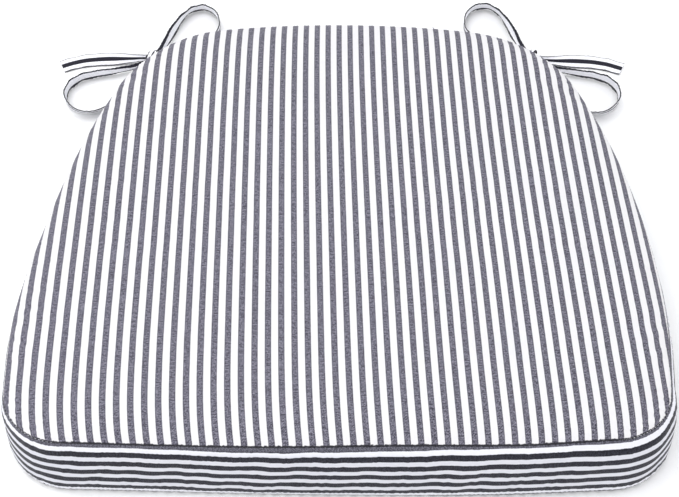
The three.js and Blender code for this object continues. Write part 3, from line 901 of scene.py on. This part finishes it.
def make_zip_strip(word):
    side = side_of(word)
    parts = 4 * round(2 * ZIP_HALF / STITCH)
    places = OUTLINE.half + np.linspace(-ZIP_HALF, ZIP_HALF, parts + 1)
    outward = OUTLINE.at(places)[1]
    rows = [boxing_row(places, s) for s in STRIP_ROWS[word]]
    lip = rows[0] if word == "upper" else rows[-1]
    hem = [lip.copy() for _ in STRIP_HEM]
    for fold, (inward, away) in zip(hem, STRIP_HEM):
        fold[:, :2] -= outward * (inward + 0.15 * wobble(places / 4, 5))[:, None]
        fold[:, 2] += side * away
    rows = hem[::-1] + rows if word == "upper" else rows + hem
    for row in rows:
        tuck_ends(row, outward, ZIP_HALF - np.abs(places - OUTLINE.half), STRIP_TUCK)
    strip = row_mesh(rows, closed=False)
    make_piece(f"cover_zip_strip_{word}", strip, "boxing_cloth", "pad", f"zip_strip_{word}", STRIP_CLOTH)


# Rows of the bottom panel: its flat part as (level, shares), and its edge as distances from its seam.
BASE_INNER_ROWS = ((3, (0.05, 0.15, 0.3, 0.45, 0.6)), (2, (0.72, 0.82, 0.9, 0.96, 1.0)))
BASE_EDGE_ROWS = (6.5, 5.0, 3.6, 2.5, 1.7, 1.1, 0.6, 0.25, 0.0, -0.5, -0.9)


def make_bottom():
    """The bottom panel lies flat, with a small rounded edge up to its seam."""
    rows = []
    for level, shares in BASE_INNER_ROWS:
        rim, outward = OUTLINE.at(columns(level))
        for share in shares:
            flat = (rim - outward * (BASE_INSET + BASE_RUN)) * share
            x, y = flat.T / 12
            height = BASE_HEIGHT + 0.12 * (1 + wobble2(x, y, 4))
            rows.append(row_of(flat, height, *top_fabric(flat), BASE_RUN + 1))
    places = columns(1)
    rim, outward = OUTLINE.at(places)
    for run in BASE_EDGE_ROWS:
        t = max(run, 0.0)
        turned = (t - run) * TURN_IN
        lift = stitch_pucker(places, 11) * BASE_PUCKER * math.exp(-t / BAND_PUCKER_RUN)
        rise = (LOW_SEAM - BASE_HEIGHT) * (1 - math.sqrt(1 - (1 - t / BASE_RUN) ** 2)) + turned
        flat = rim - outward * (BASE_INSET + t + turned)
        height = BASE_HEIGHT + rise - lift * smoothstep(t / 3)
        rows.append(row_of(flat + outward * (lift * 0.6)[:, None], height, *top_fabric(flat), run))
    make_cover("cover_bottom", rows, "stripe_cloth", "bottom_panel", first_pole=True)


# ---------------- stitches

SEAM_THREAD = (STITCH * 0.62, 0.3)      # what shows of a stitch in a seam, as (length, radius)
TOP_THREAD = (STITCH * 0.78, 0.28)      # and beside the zip
THREAD_SIDES = 6
# Rings of a thread as (share of its length, share of its radius, how many radii it sinks).
THREAD_RINGS = (
    (-0.5, 0.25, -0.8), (-0.42, 0.8, -0.25), (-0.2, 1.0, 0.0),
    (0.2, 1.0, 0.0), (0.42, 0.8, -0.25), (0.5, 0.25, -0.8),
)


def tube_faces(rings, sides):
    """Faces round and along a tube of rings, and over its two ends."""
    faces = []
    for k in range(rings - 1):
        faces += [(k * sides + j, k * sides + (j + 1) % sides, (k + 1) * sides + (j + 1) % sides,
                   (k + 1) * sides + j) for j in range(sides)]
    last = (rings - 1) * sides
    return faces + [tuple(range(sides))[::-1], tuple(range(last, last + sides))]


def joined(shapes):
    """Several shapes, as (points, faces), in one."""
    points, faces, start = [], [], 0
    for shape_points, shape_faces, *_ in shapes:
        points.append(shape_points)
        faces += [[index + start for index in face] for face in shape_faces]
        start += len(shape_points)
    return np.vstack(points), faces


def threads(centres, directions, ups, length, radius):
    """Short threads with round ends, as one mesh."""
    sides = THREAD_SIDES
    sideways = unit(np.cross(directions, ups))
    ups = np.cross(sideways, directions)
    turn = round_angles(sides)[:, None]
    shapes = []
    for centre, ahead, side, up in zip(centres, directions, sideways, ups):
        rings = []
        for along, girth, sink in THREAD_RINGS:
            ring = (np.cos(turn) * side + np.sin(turn) * up) * radius * girth
            rings.append(centre + ahead * along * length + up * sink * radius + ring)
        shapes.append((np.vstack(rings), tube_faces(len(rings), sides)))
    return joined(shapes)


def along_outline(outward):
    return np.column_stack([-outward[:, 1], outward[:, 0], np.zeros(len(outward))])


def seam_stitches(name, inset, height, node, tilt, drawn):
    """One stitch in each dip of a seam. drawn is 1 where the seam follows the top seam's easing, or 0."""
    places = (np.arange(STITCHES) / STITCHES - 0.5) * PERIMETER
    rim, outward = OUTLINE.at(places)
    up = row_of(outward * math.cos(tilt), math.sin(tilt))
    inset = inset + drawn * OUTLINE.seam_ease(places)
    sink = 0.32 - 0.3 * OUTLINE.corner(places)
    centres = row_of(rim - outward * inset[:, None], height) - up * sink[:, None]
    slant = unit(along_outline(outward) + np.array([0, 0, 0.18]))
    make_piece(name, threads(centres, slant, up, *SEAM_THREAD), "thread", "pad", node)


# ---------------- the zip

COIL_PITCH = 1.25
COIL_PART = 0.55            # the coils' facing sides are this far from the middle of the zip
COIL_WIDE = 2.8
COIL_DEEP = 2.8
COIL_WIRE = 0.32            # radius
COIL_STEPS = 12             # points in a turn
COIL_END = 5.0              # no teeth this near an end of the zip
TAPE_DEEPER = 1.2           # middle of the tapes, inside that of the coils
TAPE_GAP = 0.3              # from a coil to the corded edge of its tape
TOPSTITCH_IN = 2.0          # from the edge of a strip
TOPSTITCH_END = 3.0         # and from the ends of the zip
CLIP_CORNERS = ((-0.9, -1.3, -4.2), (0.9, 1.5, 4.2))
NECK_CORNERS = ((1.5, -2.0, -0.24), (5.0, 2.0, 0.24))
PLATE_HALF_SIZE = (5.5, 4.3)
PLATE_TAPER = 0.25
SLIDER_ROOM = 0.35          # between the coils and the slider's plates
PLATE = 1.1                 # thickness of a slider plate
PLATE_INNER = COIL_DEEP / 2 + SLIDER_ROOM
SLIDER_PLACE = OUTLINE.half - ZIP_HALF + math.radians(1.1) * OUTLINE.rear_radius
PIN_OUT = 5.1               # the pull's hinge, out from the middle of the coils
# The pull's tab and the hole in it: how far their middles are from the pin, and half their length and width.
PULL_MIDDLE = 14.0
PULL_HALF_SIZE = (7.8, 3.1)
PULL_HOLE_AT = 18.2
PULL_HOLE_HALF_SIZE = (2.0, 1.4)
PULL_HALF_THICKNESS = 0.45
# One leg of the slider's arch, as (from the middle, above the plate), up to the crown.
ARCH_LEG = ((4.4, -0.5), (4.3, 1.6), (3.6, 3.05), (2.0, 3.45))
# Section of a tape as (across, out), from its corded edge beside the coil.
TAPE_SECTION = (
    (0.0, 0.45), (0.4, 0.75), (1.2, 0.75), (1.6, 0.4), (6.0, 0.35), (9.8, 0.35), (10.0, 0.0), (9.8, -0.35),
    (1.2, -0.45), (0.0, -0.3), (0.0, 0.45),
)


def zip_frame(places, inset, height):
    """Points, along and outward directions on the rear wall."""
    rim, outward = OUTLINE.at(places)
    return row_of(rim - outward * inset, height), along_outline(outward), row_of(outward, 0.0)


def on_zip(shape, place):
    """Moves a shape made about a place on the zip (X along it, Y outwards) onto the rear wall."""
    centre, ahead, outward = zip_frame(np.array([place]), ZIP_INSET, ZIP_HEIGHT)
    x, y, z = shape[0].T[:, :, None]
    return centre - x * ahead + y * outward + z * np.array([0, 0, 1]), shape[1]


def make_topstitch(word, side):
    count = round((2 * ZIP_HALF - 2 * TOPSTITCH_END) / STITCH)
    places = OUTLINE.half + (np.arange(count) - (count - 1) / 2) * STITCH
    edge = ZIP_HEIGHT + side * (ZIP_WINDOW / 2 + TOPSTITCH_IN)
    centres, ahead, out = zip_frame(places, boxing_at_height(edge, 1) - 0.12, edge)
    lift = 0.3 * wobble(places / 13, 8)
    stitches = threads(centres + out * lift[:, None], ahead, out, *TOP_THREAD)
    make_piece(f"zip_topstitch_{word}", stitches, "thread", "pad", f"zip_stitches_{word}")


def make_tape(word, side):
    places = OUTLINE.half + np.linspace(-ZIP_HALF + 1, ZIP_HALF - 1, 97)
    inner = COIL_PART + COIL_WIDE + TAPE_GAP
    rows = []
    for across, out in TAPE_SECTION[::side]:
        height = ZIP_HEIGHT + side * (inner + across)
        centres, _, _ = zip_frame(places, ZIP_INSET + TAPE_DEEPER - out, height)
        rows.append(row_of(centres, places, across, 0.0))
    make_piece(f"zip_woven_tape_{word}", row_mesh(rows, closed=False), "zip_tape", "pad", f"zip_tape_{word}")


def make_coil(word, side):
    """A flattened nylon helix, whose turns run across the zip."""
    turns = int((2 * ZIP_HALF - 2 * COIL_END) / COIL_PITCH)
    steps = np.arange(turns * COIL_STEPS + 1) / COIL_STEPS
    phase = steps * 2 * math.pi
    rim, outward = OUTLINE.at(OUTLINE.half + (steps - turns / 2 + side / 4) * COIL_PITCH)
    across = COIL_PART + COIL_WIDE / 2 + (COIL_WIDE / 2 - COIL_WIRE) * np.cos(phase)
    out = (COIL_DEEP / 2 - COIL_WIRE) * np.sin(phase)
    line = row_of(rim - outward * (ZIP_INSET - out)[:, None], ZIP_HEIGHT + side * across)
    make_piece(f"zip_teeth_{word}", tube(line, COIL_WIRE, 6), "zip_nylon", "pad", f"zip_coil_{word}")


def tube(line, radius, sides):
    """A round tube along a line of points, with closed ends."""
    ahead = unit(np.gradient(line, axis=0))
    side = unit(np.cross(ahead, np.array([0.13, 0.21, 0.97])))
    up = np.cross(side, ahead)
    turn = round_angles(sides)[None, :, None]
    rings = line[:, None, :] + radius * (np.cos(turn) * side[:, None, :] + np.sin(turn) * up[:, None, :])
    return rings.reshape(-1, 3), tube_faces(len(line), sides)


def rounded_block(low, high, bevel):
    """A block with bevelled edges between two corners."""
    low, high = np.array(low, float), np.array(high, float)
    work = bmesh.new()
    bmesh.ops.create_cube(work, size=1.0)
    for vertex in work.verts:
        vertex.co = (low + high) / 2 + np.array(vertex.co) * (high - low)
    bmesh.ops.bevel(work, geom=list(work.edges), offset=bevel, segments=2, profile=0.6, affect="EDGES")
    work.verts.index_update()
    points = np.array([vertex.co for vertex in work.verts])
    faces = [[vertex.index for vertex in face.verts] for face in work.faces]
    work.free()
    return points, faces


def make_stop(word):
    """A bright clip over both coils at an end of the zip."""
    place = OUTLINE.half - side_of(word) * (ZIP_HALF - math.radians(0.3) * OUTLINE.rear_radius)
    clip = on_zip(rounded_block(*CLIP_CORNERS, 0.4), place)
    make_piece(f"zip_end_clip_{word}", clip, "zip_metal", "pad", f"zip_stop_{word}")


def squared_off(value, power):
    """Rounds a cosine or sine outwards, so that a circle turns into a rounded box."""
    return np.sign(value) * np.abs(value) ** power


def plate(half_length, half_height, low, high, taper):
    """A slider plate: a rounded outline that narrows to one end, bulged at its rim."""
    turn = round_angles(40)
    x = squared_off(np.cos(turn), 0.55)
    z = squared_off(np.sin(turn), 0.6) * (1 - taper * (0.5 - x / 2))
    rows = []
    for size, y in ((0.86, low), (0.97, low + 0.2), (1.0, (low + high) / 2), (0.97, high - 0.2), (0.86, high),
                    (0.5, high + 0.12)):
        rows.append(row_of(x[:, None] * half_length * size, y, z * half_height * size))
    return row_mesh(rows, first_pole=True, last_pole=True)


def make_slider():
    """Two plates joined by a neck, and an arch for the pull."""
    outer = PLATE_INNER + PLATE
    plates = [plate(*PLATE_HALF_SIZE, low, low + PLATE, PLATE_TAPER) for low in (PLATE_INNER, -outer)]
    neck = rounded_block(*NECK_CORNERS, 0.1)
    leg = [(x, outer + rise, 0) for x, rise in ARCH_LEG]
    arch = [(-x, y, z) for x, y, z in leg] + leg[::-1]
    arch_points, arch_faces = tube(smooth_line(arch, 0.4), 0.5, 8)
    arch_points[:, 2] *= 2.0
    slider = on_zip(joined([*plates, neck, (arch_points, arch_faces)]), SLIDER_PLACE)
    make_piece("zip_slider_body", slider, "zip_metal", "slider", "zip_slider")


def make_pull():
    """A tapered tab with a hole at its end, hung on the arch by a pin."""
    pin = tube(np.array([(0, 0, -2.8), (0, 0, 0), (0, 0, 2.8)], float), 0.5, 10)
    arms = [rounded_block((-0.5, -0.5, s * 2.3 - 0.55), (7.0, 0.5, s * 2.3 + 0.55), 0.2) for s in (-1, 1)]
    turn = round_angles(48)
    cosine, sine = np.cos(turn), np.sin(turn)
    outer = (PULL_MIDDLE + PULL_HALF_SIZE[0] * squared_off(cosine, 0.5),
             PULL_HALF_SIZE[1] * squared_off(sine, 0.55) * (1.0 + 0.12 * cosine))
    hole = (PULL_HOLE_AT + PULL_HOLE_HALF_SIZE[0] * cosine, PULL_HOLE_HALF_SIZE[1] * sine)
    rows = []
    for (x, z), out in ((hole, 0), (hole, 1), (outer, 1), (outer, 0), (outer, -1), (hole, -1), (hole, 0)):
        rows.append(row_of(x[:, None], out * PULL_HALF_THICKNESS, z))
    points, faces = joined([pin, *arms, row_mesh(rows)])
    pull = on_zip((points + np.array([0, PIN_OUT, 0]), faces), SLIDER_PLACE)
    make_piece("zip_pull_tab", pull, "zip_metal", "pull", "zip_pull")


def make_zip():
    for word, side in (("upper", 1), ("lower", -1)):
        make_tape(word, side)
        make_coil(word, side)
        make_topstitch(word, side)
    for word in ("right", "left"):
        make_stop(word)
    make_slider()
    make_pull()


# ---------------- filling

WADDING = 5.0
CORE_DEPTH = WADDING + 0.6
FILLING_LOW = 1.5           # underside
FILLING_HIGH = HIGH_SEAM + 6.2
FILLING_INSET = SEAM_INSET + 3.4    # side, inside the outline
FILLING_RUN = 27.0          # rounded edge, inwards and upwards
FILLING_RISE = 8.5


def filling_rows(depth):
    """Rows of the filling's shape, this deep inside it, from the middle of the bottom to that of the top."""
    low, high, edge = FILLING_LOW + depth, FILLING_HIGH - depth, FILLING_INSET + depth
    places = columns(2)
    rim, outward = OUTLINE.at(places)
    drawn = np.maximum(OUTLINE.seam_ease(places), 0)

    def row(inset, share, height):
        return row_of((rim - outward * (inset + drawn)[:, None]) * share, height)

    shares = (0.1, 0.4, 0.7, 1.0)
    bends = [(edge + FILLING_RUN * (1 - math.sin(angle)), FILLING_RISE * (1 - math.cos(angle)))
             for angle in np.linspace(0, math.pi / 2, 10)[1:-1]]
    heights = np.linspace(low + FILLING_RISE, high - FILLING_RISE, 6)
    return ([row(edge + FILLING_RUN, share, low) for share in shares]
            + [row(inset, 1.0, low + up) for inset, up in bends]
            + [row(edge, 1.0, height) for height in heights]
            + [row(inset, 1.0, high - up) for inset, up in bends[::-1]]
            + [row(edge + FILLING_RUN, share, high) for share in shares[::-1]])


def make_filling():
    """The foam core, and the two halves of wadding wrapped round it."""
    points, faces, _ = row_mesh(filling_rows(CORE_DEPTH), first_pole=True, last_pole=True)
    x, y, _ = points.T / 9
    points = points + 0.25 * np.column_stack([wobble2(x, y, seed) for seed in (1, 4, 7)])
    make_piece("foam_block", (points, faces), "foam", "pad", "foam_core")
    outer, inner = filling_rows(0.0), filling_rows(WADDING)
    middle = len(outer) // 2
    halves = {"upper": inner[:middle - 1:-1] + outer[middle:], "lower": outer[:middle] + inner[:middle][::-1]}
    for word, rows in halves.items():
        half = row_mesh(rows, first_pole=True, last_pole=True)
        make_piece(f"wadding_wrap_{word}", half, "fibre", "pad", f"wadding_{word}")


# ---------------- ties

# Routes behind the pad for the right-hand bow, from the knot outwards. The left-hand bow is its mirror
# image, and both are then moved by BOW_OFFSET.
BOW_OFFSET = -4.0
# How much further back each run of a bow lies than its route: the two bows were tied a little apart.
BOW_BACK = {
    "right": {"knot": 5.3, "root": 4.0, "loop_up": 5.3, "loop_out": 2.5, "tail_out": 3.0, "tail_in": 3.0},
    "left": {"knot": 3.0, "root": 3.0, "loop_up": 3.0, "loop_out": 2.5, "tail_out": 5.0, "tail_in": 3.0},
}
# Where a root leaves the bottom seam: the right-hand one, and the mirror image of the left-hand one.
ROOT_START = {"right": (145.6, 176.6), "left": (144.2, 174.8)}
KNOT = (155.5, 211.0)
KNOT_HEIGHT = 8.2
KNOT_CORE = (7.2, 5.6, 4.4)     # half its size
BUNDLE = (7.4, 5.2)         # half the width and height of the knot's wraps
FLOOR_GAP = 0.15            # no tape goes lower
TIE_LIFT = 0.35             # a tie's lower edge, above the floor
KNOT_CLIMB = 7.0            # how gradually a tie climbs to the knot
SEAM_CLIMB = 8.0            # and to the bottom seam
TIE_STEP = 1.0
TIE_BLUR = 11.0             # rounds the corners of a route
ROOT_BLUR = 4.0
GATHERED = 0.42             # how narrow a tie is where the knot gathers it, as a share of its width
GATHER_HOLD = 6.0           # it stays as narrow this near the knot
GATHER_FADE = (34.0, 30.0)  # and opens out over this, at its start and at its end
PLEAT = 1.5                 # height of the pleats there
PLEAT_WIDTH = 3.6
CUP = 0.35                  # unevenness of a tie's edges: slow, and quick
RUFFLE = 0.22
TIE_ROUTES = {
    "root": [(150.5, 188), (153.3, 197), (154.8, 205)],
    "loop_up": [
        (151.5, 220), (149, 228), (146, 238), (142.5, 249), (138, 262), (133, 273), (128, 279),
        (121.5, 281.5), (114.5, 279), (108, 272), (104.5, 263), (103.5, 252), (104.5, 243),
        (109, 235.5), (117, 229), (127, 224), (138, 220), (147, 217),
    ],
    "loop_out": [
        (163.3, 206), (172, 203), (183, 199), (197, 195.5), (208, 193), (217, 188),
        (222.5, 180), (224.5, 170), (222.5, 160.5), (216, 152.5), (208, 148.5), (199.5, 148.5),
        (191, 154), (183, 162.5), (176, 173.5), (170.5, 185), (165, 195.5), (162, 202),
    ],
    "tail_out": [
        (167.5, 213.5), (175, 214), (184, 214.5), (194, 214.5), (204, 214), (219, 211.5), (232, 205.5),
    ],
    "tail_in": [
        (145, 207), (137, 205), (126, 206), (113, 208.5), (101, 214.5), (91, 225), (83, 236), (78.5, 244),
    ],
}
RIGHT_TAIL_IN_TIP = (72, 257)
LOOP_REACH = {"right": 1.025, "left": 1.0}      # how far the outer loop reaches from its knot
# How far towards its first or last point a run of tape starts or ends, from the middle of the knot.
KNOT_HOLD = {"loop_up": 0.35, "loop_out": 0.35, "tail_out": 0.1, "tail_in": 0.35}

# How the tape leans, as (share of the route, degrees): 0 stands on its edge, positive leans out of the
# loop, and -90 lies flat with its face up. OUTSIDE is the loop's outer side: 1 is to the right of the way
# the route runs, on the right-hand bow.
TIE_LEAN = {
    "root": ((0, -90), (1, -90)),
    "loop_up": ((0, 14), (0.16, 11), (0.27, -6), (0.34, -22), (0.4, -29), (0.48, -24), (0.57, -4), (0.68, 10),
                (0.85, 8), (1, 5)),
    "loop_out": ((0, -28), (0.15, -25), (0.3, -20), (0.4, -6), (0.5, 16), (0.58, 40), (0.7, 42), (0.85, 22),
                 (1, 6)),
    "tail_out": ((0, -50), (0.3, -72), (1, -80)),
    "tail_in": ((0, -75), (0.3, -88), (1, -90)),
}
OUTSIDE = {"root": 1, "loop_up": 1, "loop_out": -1, "tail_out": 1, "tail_in": 1}
# How much of the dark stripe on the back shows along a loop's upper edge, where the tape is rolled over
# as it was sewn, as (share of the route, more than as drawn).
TIE_ROLL = {
    "loop_up": ((0, 1.16), (0.3, 1.16), (0.42, 0.95), (0.5, 0.9), (1, 0.9)),
    "loop_out": ((0, 1.15), (0.2, 0.95), (0.45, 0.9), (0.6, 1.1), (1, 1.2)),
}


def smooth_line(points, step, blur=0.0):
    """A smooth line through points, at even steps; blur rounds its corners over that distance."""
    points = np.asarray(points, float)
    chords = np.linalg.norm(np.diff(points, axis=0), axis=1)
    knots = np.concatenate([[0], np.cumsum(chords ** 0.75)])
    slopes = np.gradient(points, knots, axis=0)
    fine = []
    for k in range(len(points) - 1):
        t = np.linspace(0, 1, max(4, int(chords[k] / step * 4)), endpoint=False)[:, None]
        fine.append(hermite(t, knots[k + 1] - knots[k], points[k], points[k + 1], slopes[k], slopes[k + 1]))
    fine = np.vstack(fine + [points[-1:]])
    for _ in range(2 if blur else 1):
        along = distance_along(fine)
        at = np.linspace(0, along[-1], max(3, round(along[-1] / step) + 1))
        fine = np.column_stack([np.interp(at, along, fine[:, k]) for k in range(3)])
        if blur:
            reach = max(1, round(blur / step))
            padded = np.vstack([2 * fine[0] - fine[reach:0:-1], fine, 2 * fine[-1] - fine[-2:-reach - 2:-1]])
            weights = np.hanning(2 * reach + 3)[1:-1]
            weights /= weights.sum()
            fine = np.column_stack([np.convolve(padded[:, k], weights, "valid") for k in range(3)])
    return fine


def tie_section(rolled):
    """Across and out of the face for the points round the tape, and its face attribute. Where the tape is
    rolled, its edges belong to the back's dark stripes."""
    half, thick = TIE_WIDTH / 2, TIE_THICKNESS / 2
    face = np.linspace(-1, 1, 15)
    across = face * (half - 0.35)
    plump = thick * (1 - 0.25 * np.abs(face) ** 6)
    side = -0.2 if rolled else 0.2
    ring = [(a, o, a, 1.0) for a, o in zip(across, plump)]
    ring += [(half, 0.25, half, side), (half, -0.25, half, -0.2)]
    ring += [(a, -o, a, -1.0) for a, o in zip(across[::-1], plump[::-1])]
    ring += [(-half, -0.25, -half, -0.2), (-half, 0.25, -half, side)]
    return np.array(ring)


def tie_line(key, points, ends_in_knot):
    """The line down the middle of a run of tape, half its height above the floor and up to the knot."""
    plan = np.array(points, float)
    run = distance_along(plan)
    lean = np.radians(read_table(TIE_LEAN[key], run / run[-1]))
    height = TIE_LIFT + np.abs(np.cos(lean)) * TIE_WIDTH / 2 + np.abs(np.sin(lean)) * TIE_THICKNESS / 2
    if key != "root":
        height = height + (KNOT_HEIGHT - height) * np.exp(-run / KNOT_CLIMB)
    if ends_in_knot:
        height = height + (KNOT_HEIGHT - height) * np.exp(-(run[-1] - run) / KNOT_CLIMB)
    if key == "root":
        height = height + (LOW_SEAM + 0.3 - height) * np.exp(-run / SEAM_CLIMB)
    return smooth_line(row_of(plan, height), TIE_STEP, ROOT_BLUR if key == "root" else TIE_BLUR)


def tie_piece(key, word, points):
    """One run of tape, from or to the knot. Returns the piece and the line down its middle."""
    name = f"bow_{key}_{word}"
    ends_in_knot = key in ("root", "loop_up", "loop_out")
    hand = side_of(word) * OUTSIDE[key]
    line = tie_line(key, points, ends_in_knot)
    run = distance_along(line)
    lean = np.radians(read_table(TIE_LEAN[key], run / run[-1]))[:, None]
    ahead = unit(np.gradient(line, axis=0))
    out = unit(row_of(ahead[:, 1::-1] * (1, -1), 0.0)) * hand
    up = np.cross(ahead, out)
    up *= np.sign(up[:, 2])[:, None]
    wide = np.cos(lean) * up + np.sin(lean) * out
    face = np.cos(lean) * out - np.sin(lean) * up
    free = np.ones(len(line))
    if key != "root":
        free *= smoothstep((run - GATHER_HOLD) / GATHER_FADE[0])
    if ends_in_knot:
        free *= smoothstep((run[-1] - run - GATHER_HOLD) / GATHER_FADE[1])
    roll = read_table(TIE_ROLL.get(key, ((0, 1.0), (1, 1.0))), run / run[-1])
    section = tie_section(ends_in_knot)
    across, out_of_face, woven_across, on_face = section.T
    is_edge = (woven_across > 0) & (on_face < 0)
    rows = []
    for k in range(len(line)):
        share = GATHERED + (1 - GATHERED) * free[k]
        pleat = (1 - free[k]) * PLEAT * np.cos(across * math.pi / PLEAT_WIDTH)
        cup = CUP * wobble(run[k] / 9, 3 + len(name)) * (across / 6) ** 2
        ruffle = RUFFLE * wobble(run[k] / 1.7, 5 + len(key)) * np.clip((np.abs(across) - 4) / 2, 0, 1)
        out_by = out_of_face + pleat + cup + ruffle
        ring = line[k] + (across * share)[:, None] * wide[k] + out_by[:, None] * face[k]
        ring[:, 2] = np.maximum(ring[:, 2], FLOOR_GAP)
        row = row_of(ring, woven_across * np.where(is_edge, roll[k], 1.0), run[k], on_face)
        rows.append(row[::-1] if hand > 0 else row)
    tape = row_mesh(rows, first_pole=True, last_pole=True)
    return make_piece(name, tape, "tie_cloth", f"bow_{word}", f"tie_{key}_{word}"), line


# Wraps of the knot as (tilt, girth, width, shift along the bundle, seed), and their section as (across, out).
KNOT_WRAPS = ((18, 1.0, 5.0, -1.6, 2), (-24, 0.94, 4.6, 2.2, 5), (-3, 0.8, 9.0, 0.0, 8))
WRAP_SECTION = (
    (-1, -0.3), (-1, 0.3), (-0.8, 0.75), (-0.4, 0.95), (0, 1.0), (0.4, 0.95), (0.8, 0.75), (1, 0.3),
    (1, -0.3), (0.5, -0.5), (-0.5, -0.5),
)
KNOT_TURNS = 36


def knot_wrap(word, centre, tilt, girth, width, shift, seed):
    """Tape once round the bundle, as points, faces and fabric."""
    lean = math.radians(tilt) * side_of(word)
    axis = np.array([math.cos(lean), math.sin(lean) * 0.6, 0.0])
    across = np.array([-math.sin(lean), math.cos(lean), 0.0])
    up = np.array([0, 0, 1])
    rows = []
    for angle in round_angles(KNOT_TURNS):
        radial = across * math.cos(angle) + up * math.sin(angle)
        middle = (across * math.cos(angle) * BUNDLE[0] + up * math.sin(angle) * BUNDLE[1]) * girth
        squeeze = 1 + 0.14 * wobble(angle * 2.0, seed)
        for w, out in WRAP_SECTION:
            place = centre + axis * (shift + w * width / 2 * squeeze) + middle + radial * out * 1.1
            rows.append([place[0], place[1], max(place[2], FLOOR_GAP), w * 7.0 + 2.0, angle * 6.0, -1.0])
    count = len(WRAP_SECTION)
    faces = []
    for k in range(KNOT_TURNS):
        here, after = k * count, (k + 1) % KNOT_TURNS * count
        for j in range(count):
            following = (j + 1) % count
            faces.append((here + j, here + following, after + following, after + j))
    table = np.array(rows)
    return table[:, :3], faces, table[:, 3:]


def knot_core(centre):
    """A rounded core of folded tape, as points, faces and fabric."""
    angle = round_angles(KNOT_TURNS)
    rows = []
    for polar in np.linspace(0, math.pi, 13)[1:-1]:
        around = np.column_stack([
            KNOT_CORE[0] * np.cos(angle), KNOT_CORE[1] * np.sin(angle), 0.3 * np.sin(5 * angle)])
        ring = centre + around * math.sin(polar) - np.array([0, 0, KNOT_CORE[2] * math.cos(polar)])
        rows.append(row_of(ring, 6 * np.cos(angle), 6 * angle, -1.0))
    return row_mesh(rows, first_pole=True, last_pole=True)


def make_knot(word, place):
    centre = np.array([*place, KNOT_HEIGHT])
    shapes = [knot_wrap(word, centre, *wrap) for wrap in KNOT_WRAPS] + [knot_core(centre)]
    knot = (*joined(shapes), np.vstack([shape[2] for shape in shapes]))
    return make_piece(f"bow_knot_{word}", knot, "tie_cloth", f"bow_{word}", f"tie_knot_{word}")


def make_bow(word):
    side = side_of(word)

    def placed(points, key):
        reach = LOOP_REACH[word] if key == "loop_out" else 1.0
        back = BOW_BACK[word][key]
        return [(side * (KNOT[0] + (x - KNOT[0]) * reach) + BOW_OFFSET, y + back) for x, y in points]

    centre = placed([KNOT], "knot")[0]
    x, y = ROOT_START[word]
    root, _ = tie_piece("root", word, [(side * x, y)] + placed(TIE_ROUTES["root"], "root"))
    knot = make_knot(word, centre)
    for key, share in KNOT_HOLD.items():
        loop = key.startswith("loop")
        route = placed(TIE_ROUTES[key], key)
        start, end = (tuple(np.array(centre) + share * (np.array(route[k]) - centre)) for k in (0, -1))
        points = [start] + route
        if loop:
            points = points + [end]
        if key == "tail_in" and word == "right":
            points = points + placed([RIGHT_TAIL_IN_TIP], key)
        piece, line = tie_piece(key, word, points)
        tuple(line[0] * MM)
        (line * MM).tolist()


# ---------------- the scene

add_camera()
for bow in ("right", "left"):
    make_bow(bow)
make_top()
make_boxing()
make_bottom()
seam_stitches("seam_stitches_top", SEAM_INSET + 0.15, HIGH_SEAM - 0.1, "top_seam_thread", math.radians(35), 1)
seam_stitches("seam_stitches_bottom", BASE_INSET + 0.15, LOW_SEAM, "bottom_seam_thread", math.radians(-10), 0)
make_zip()
make_filling()
add_studio()
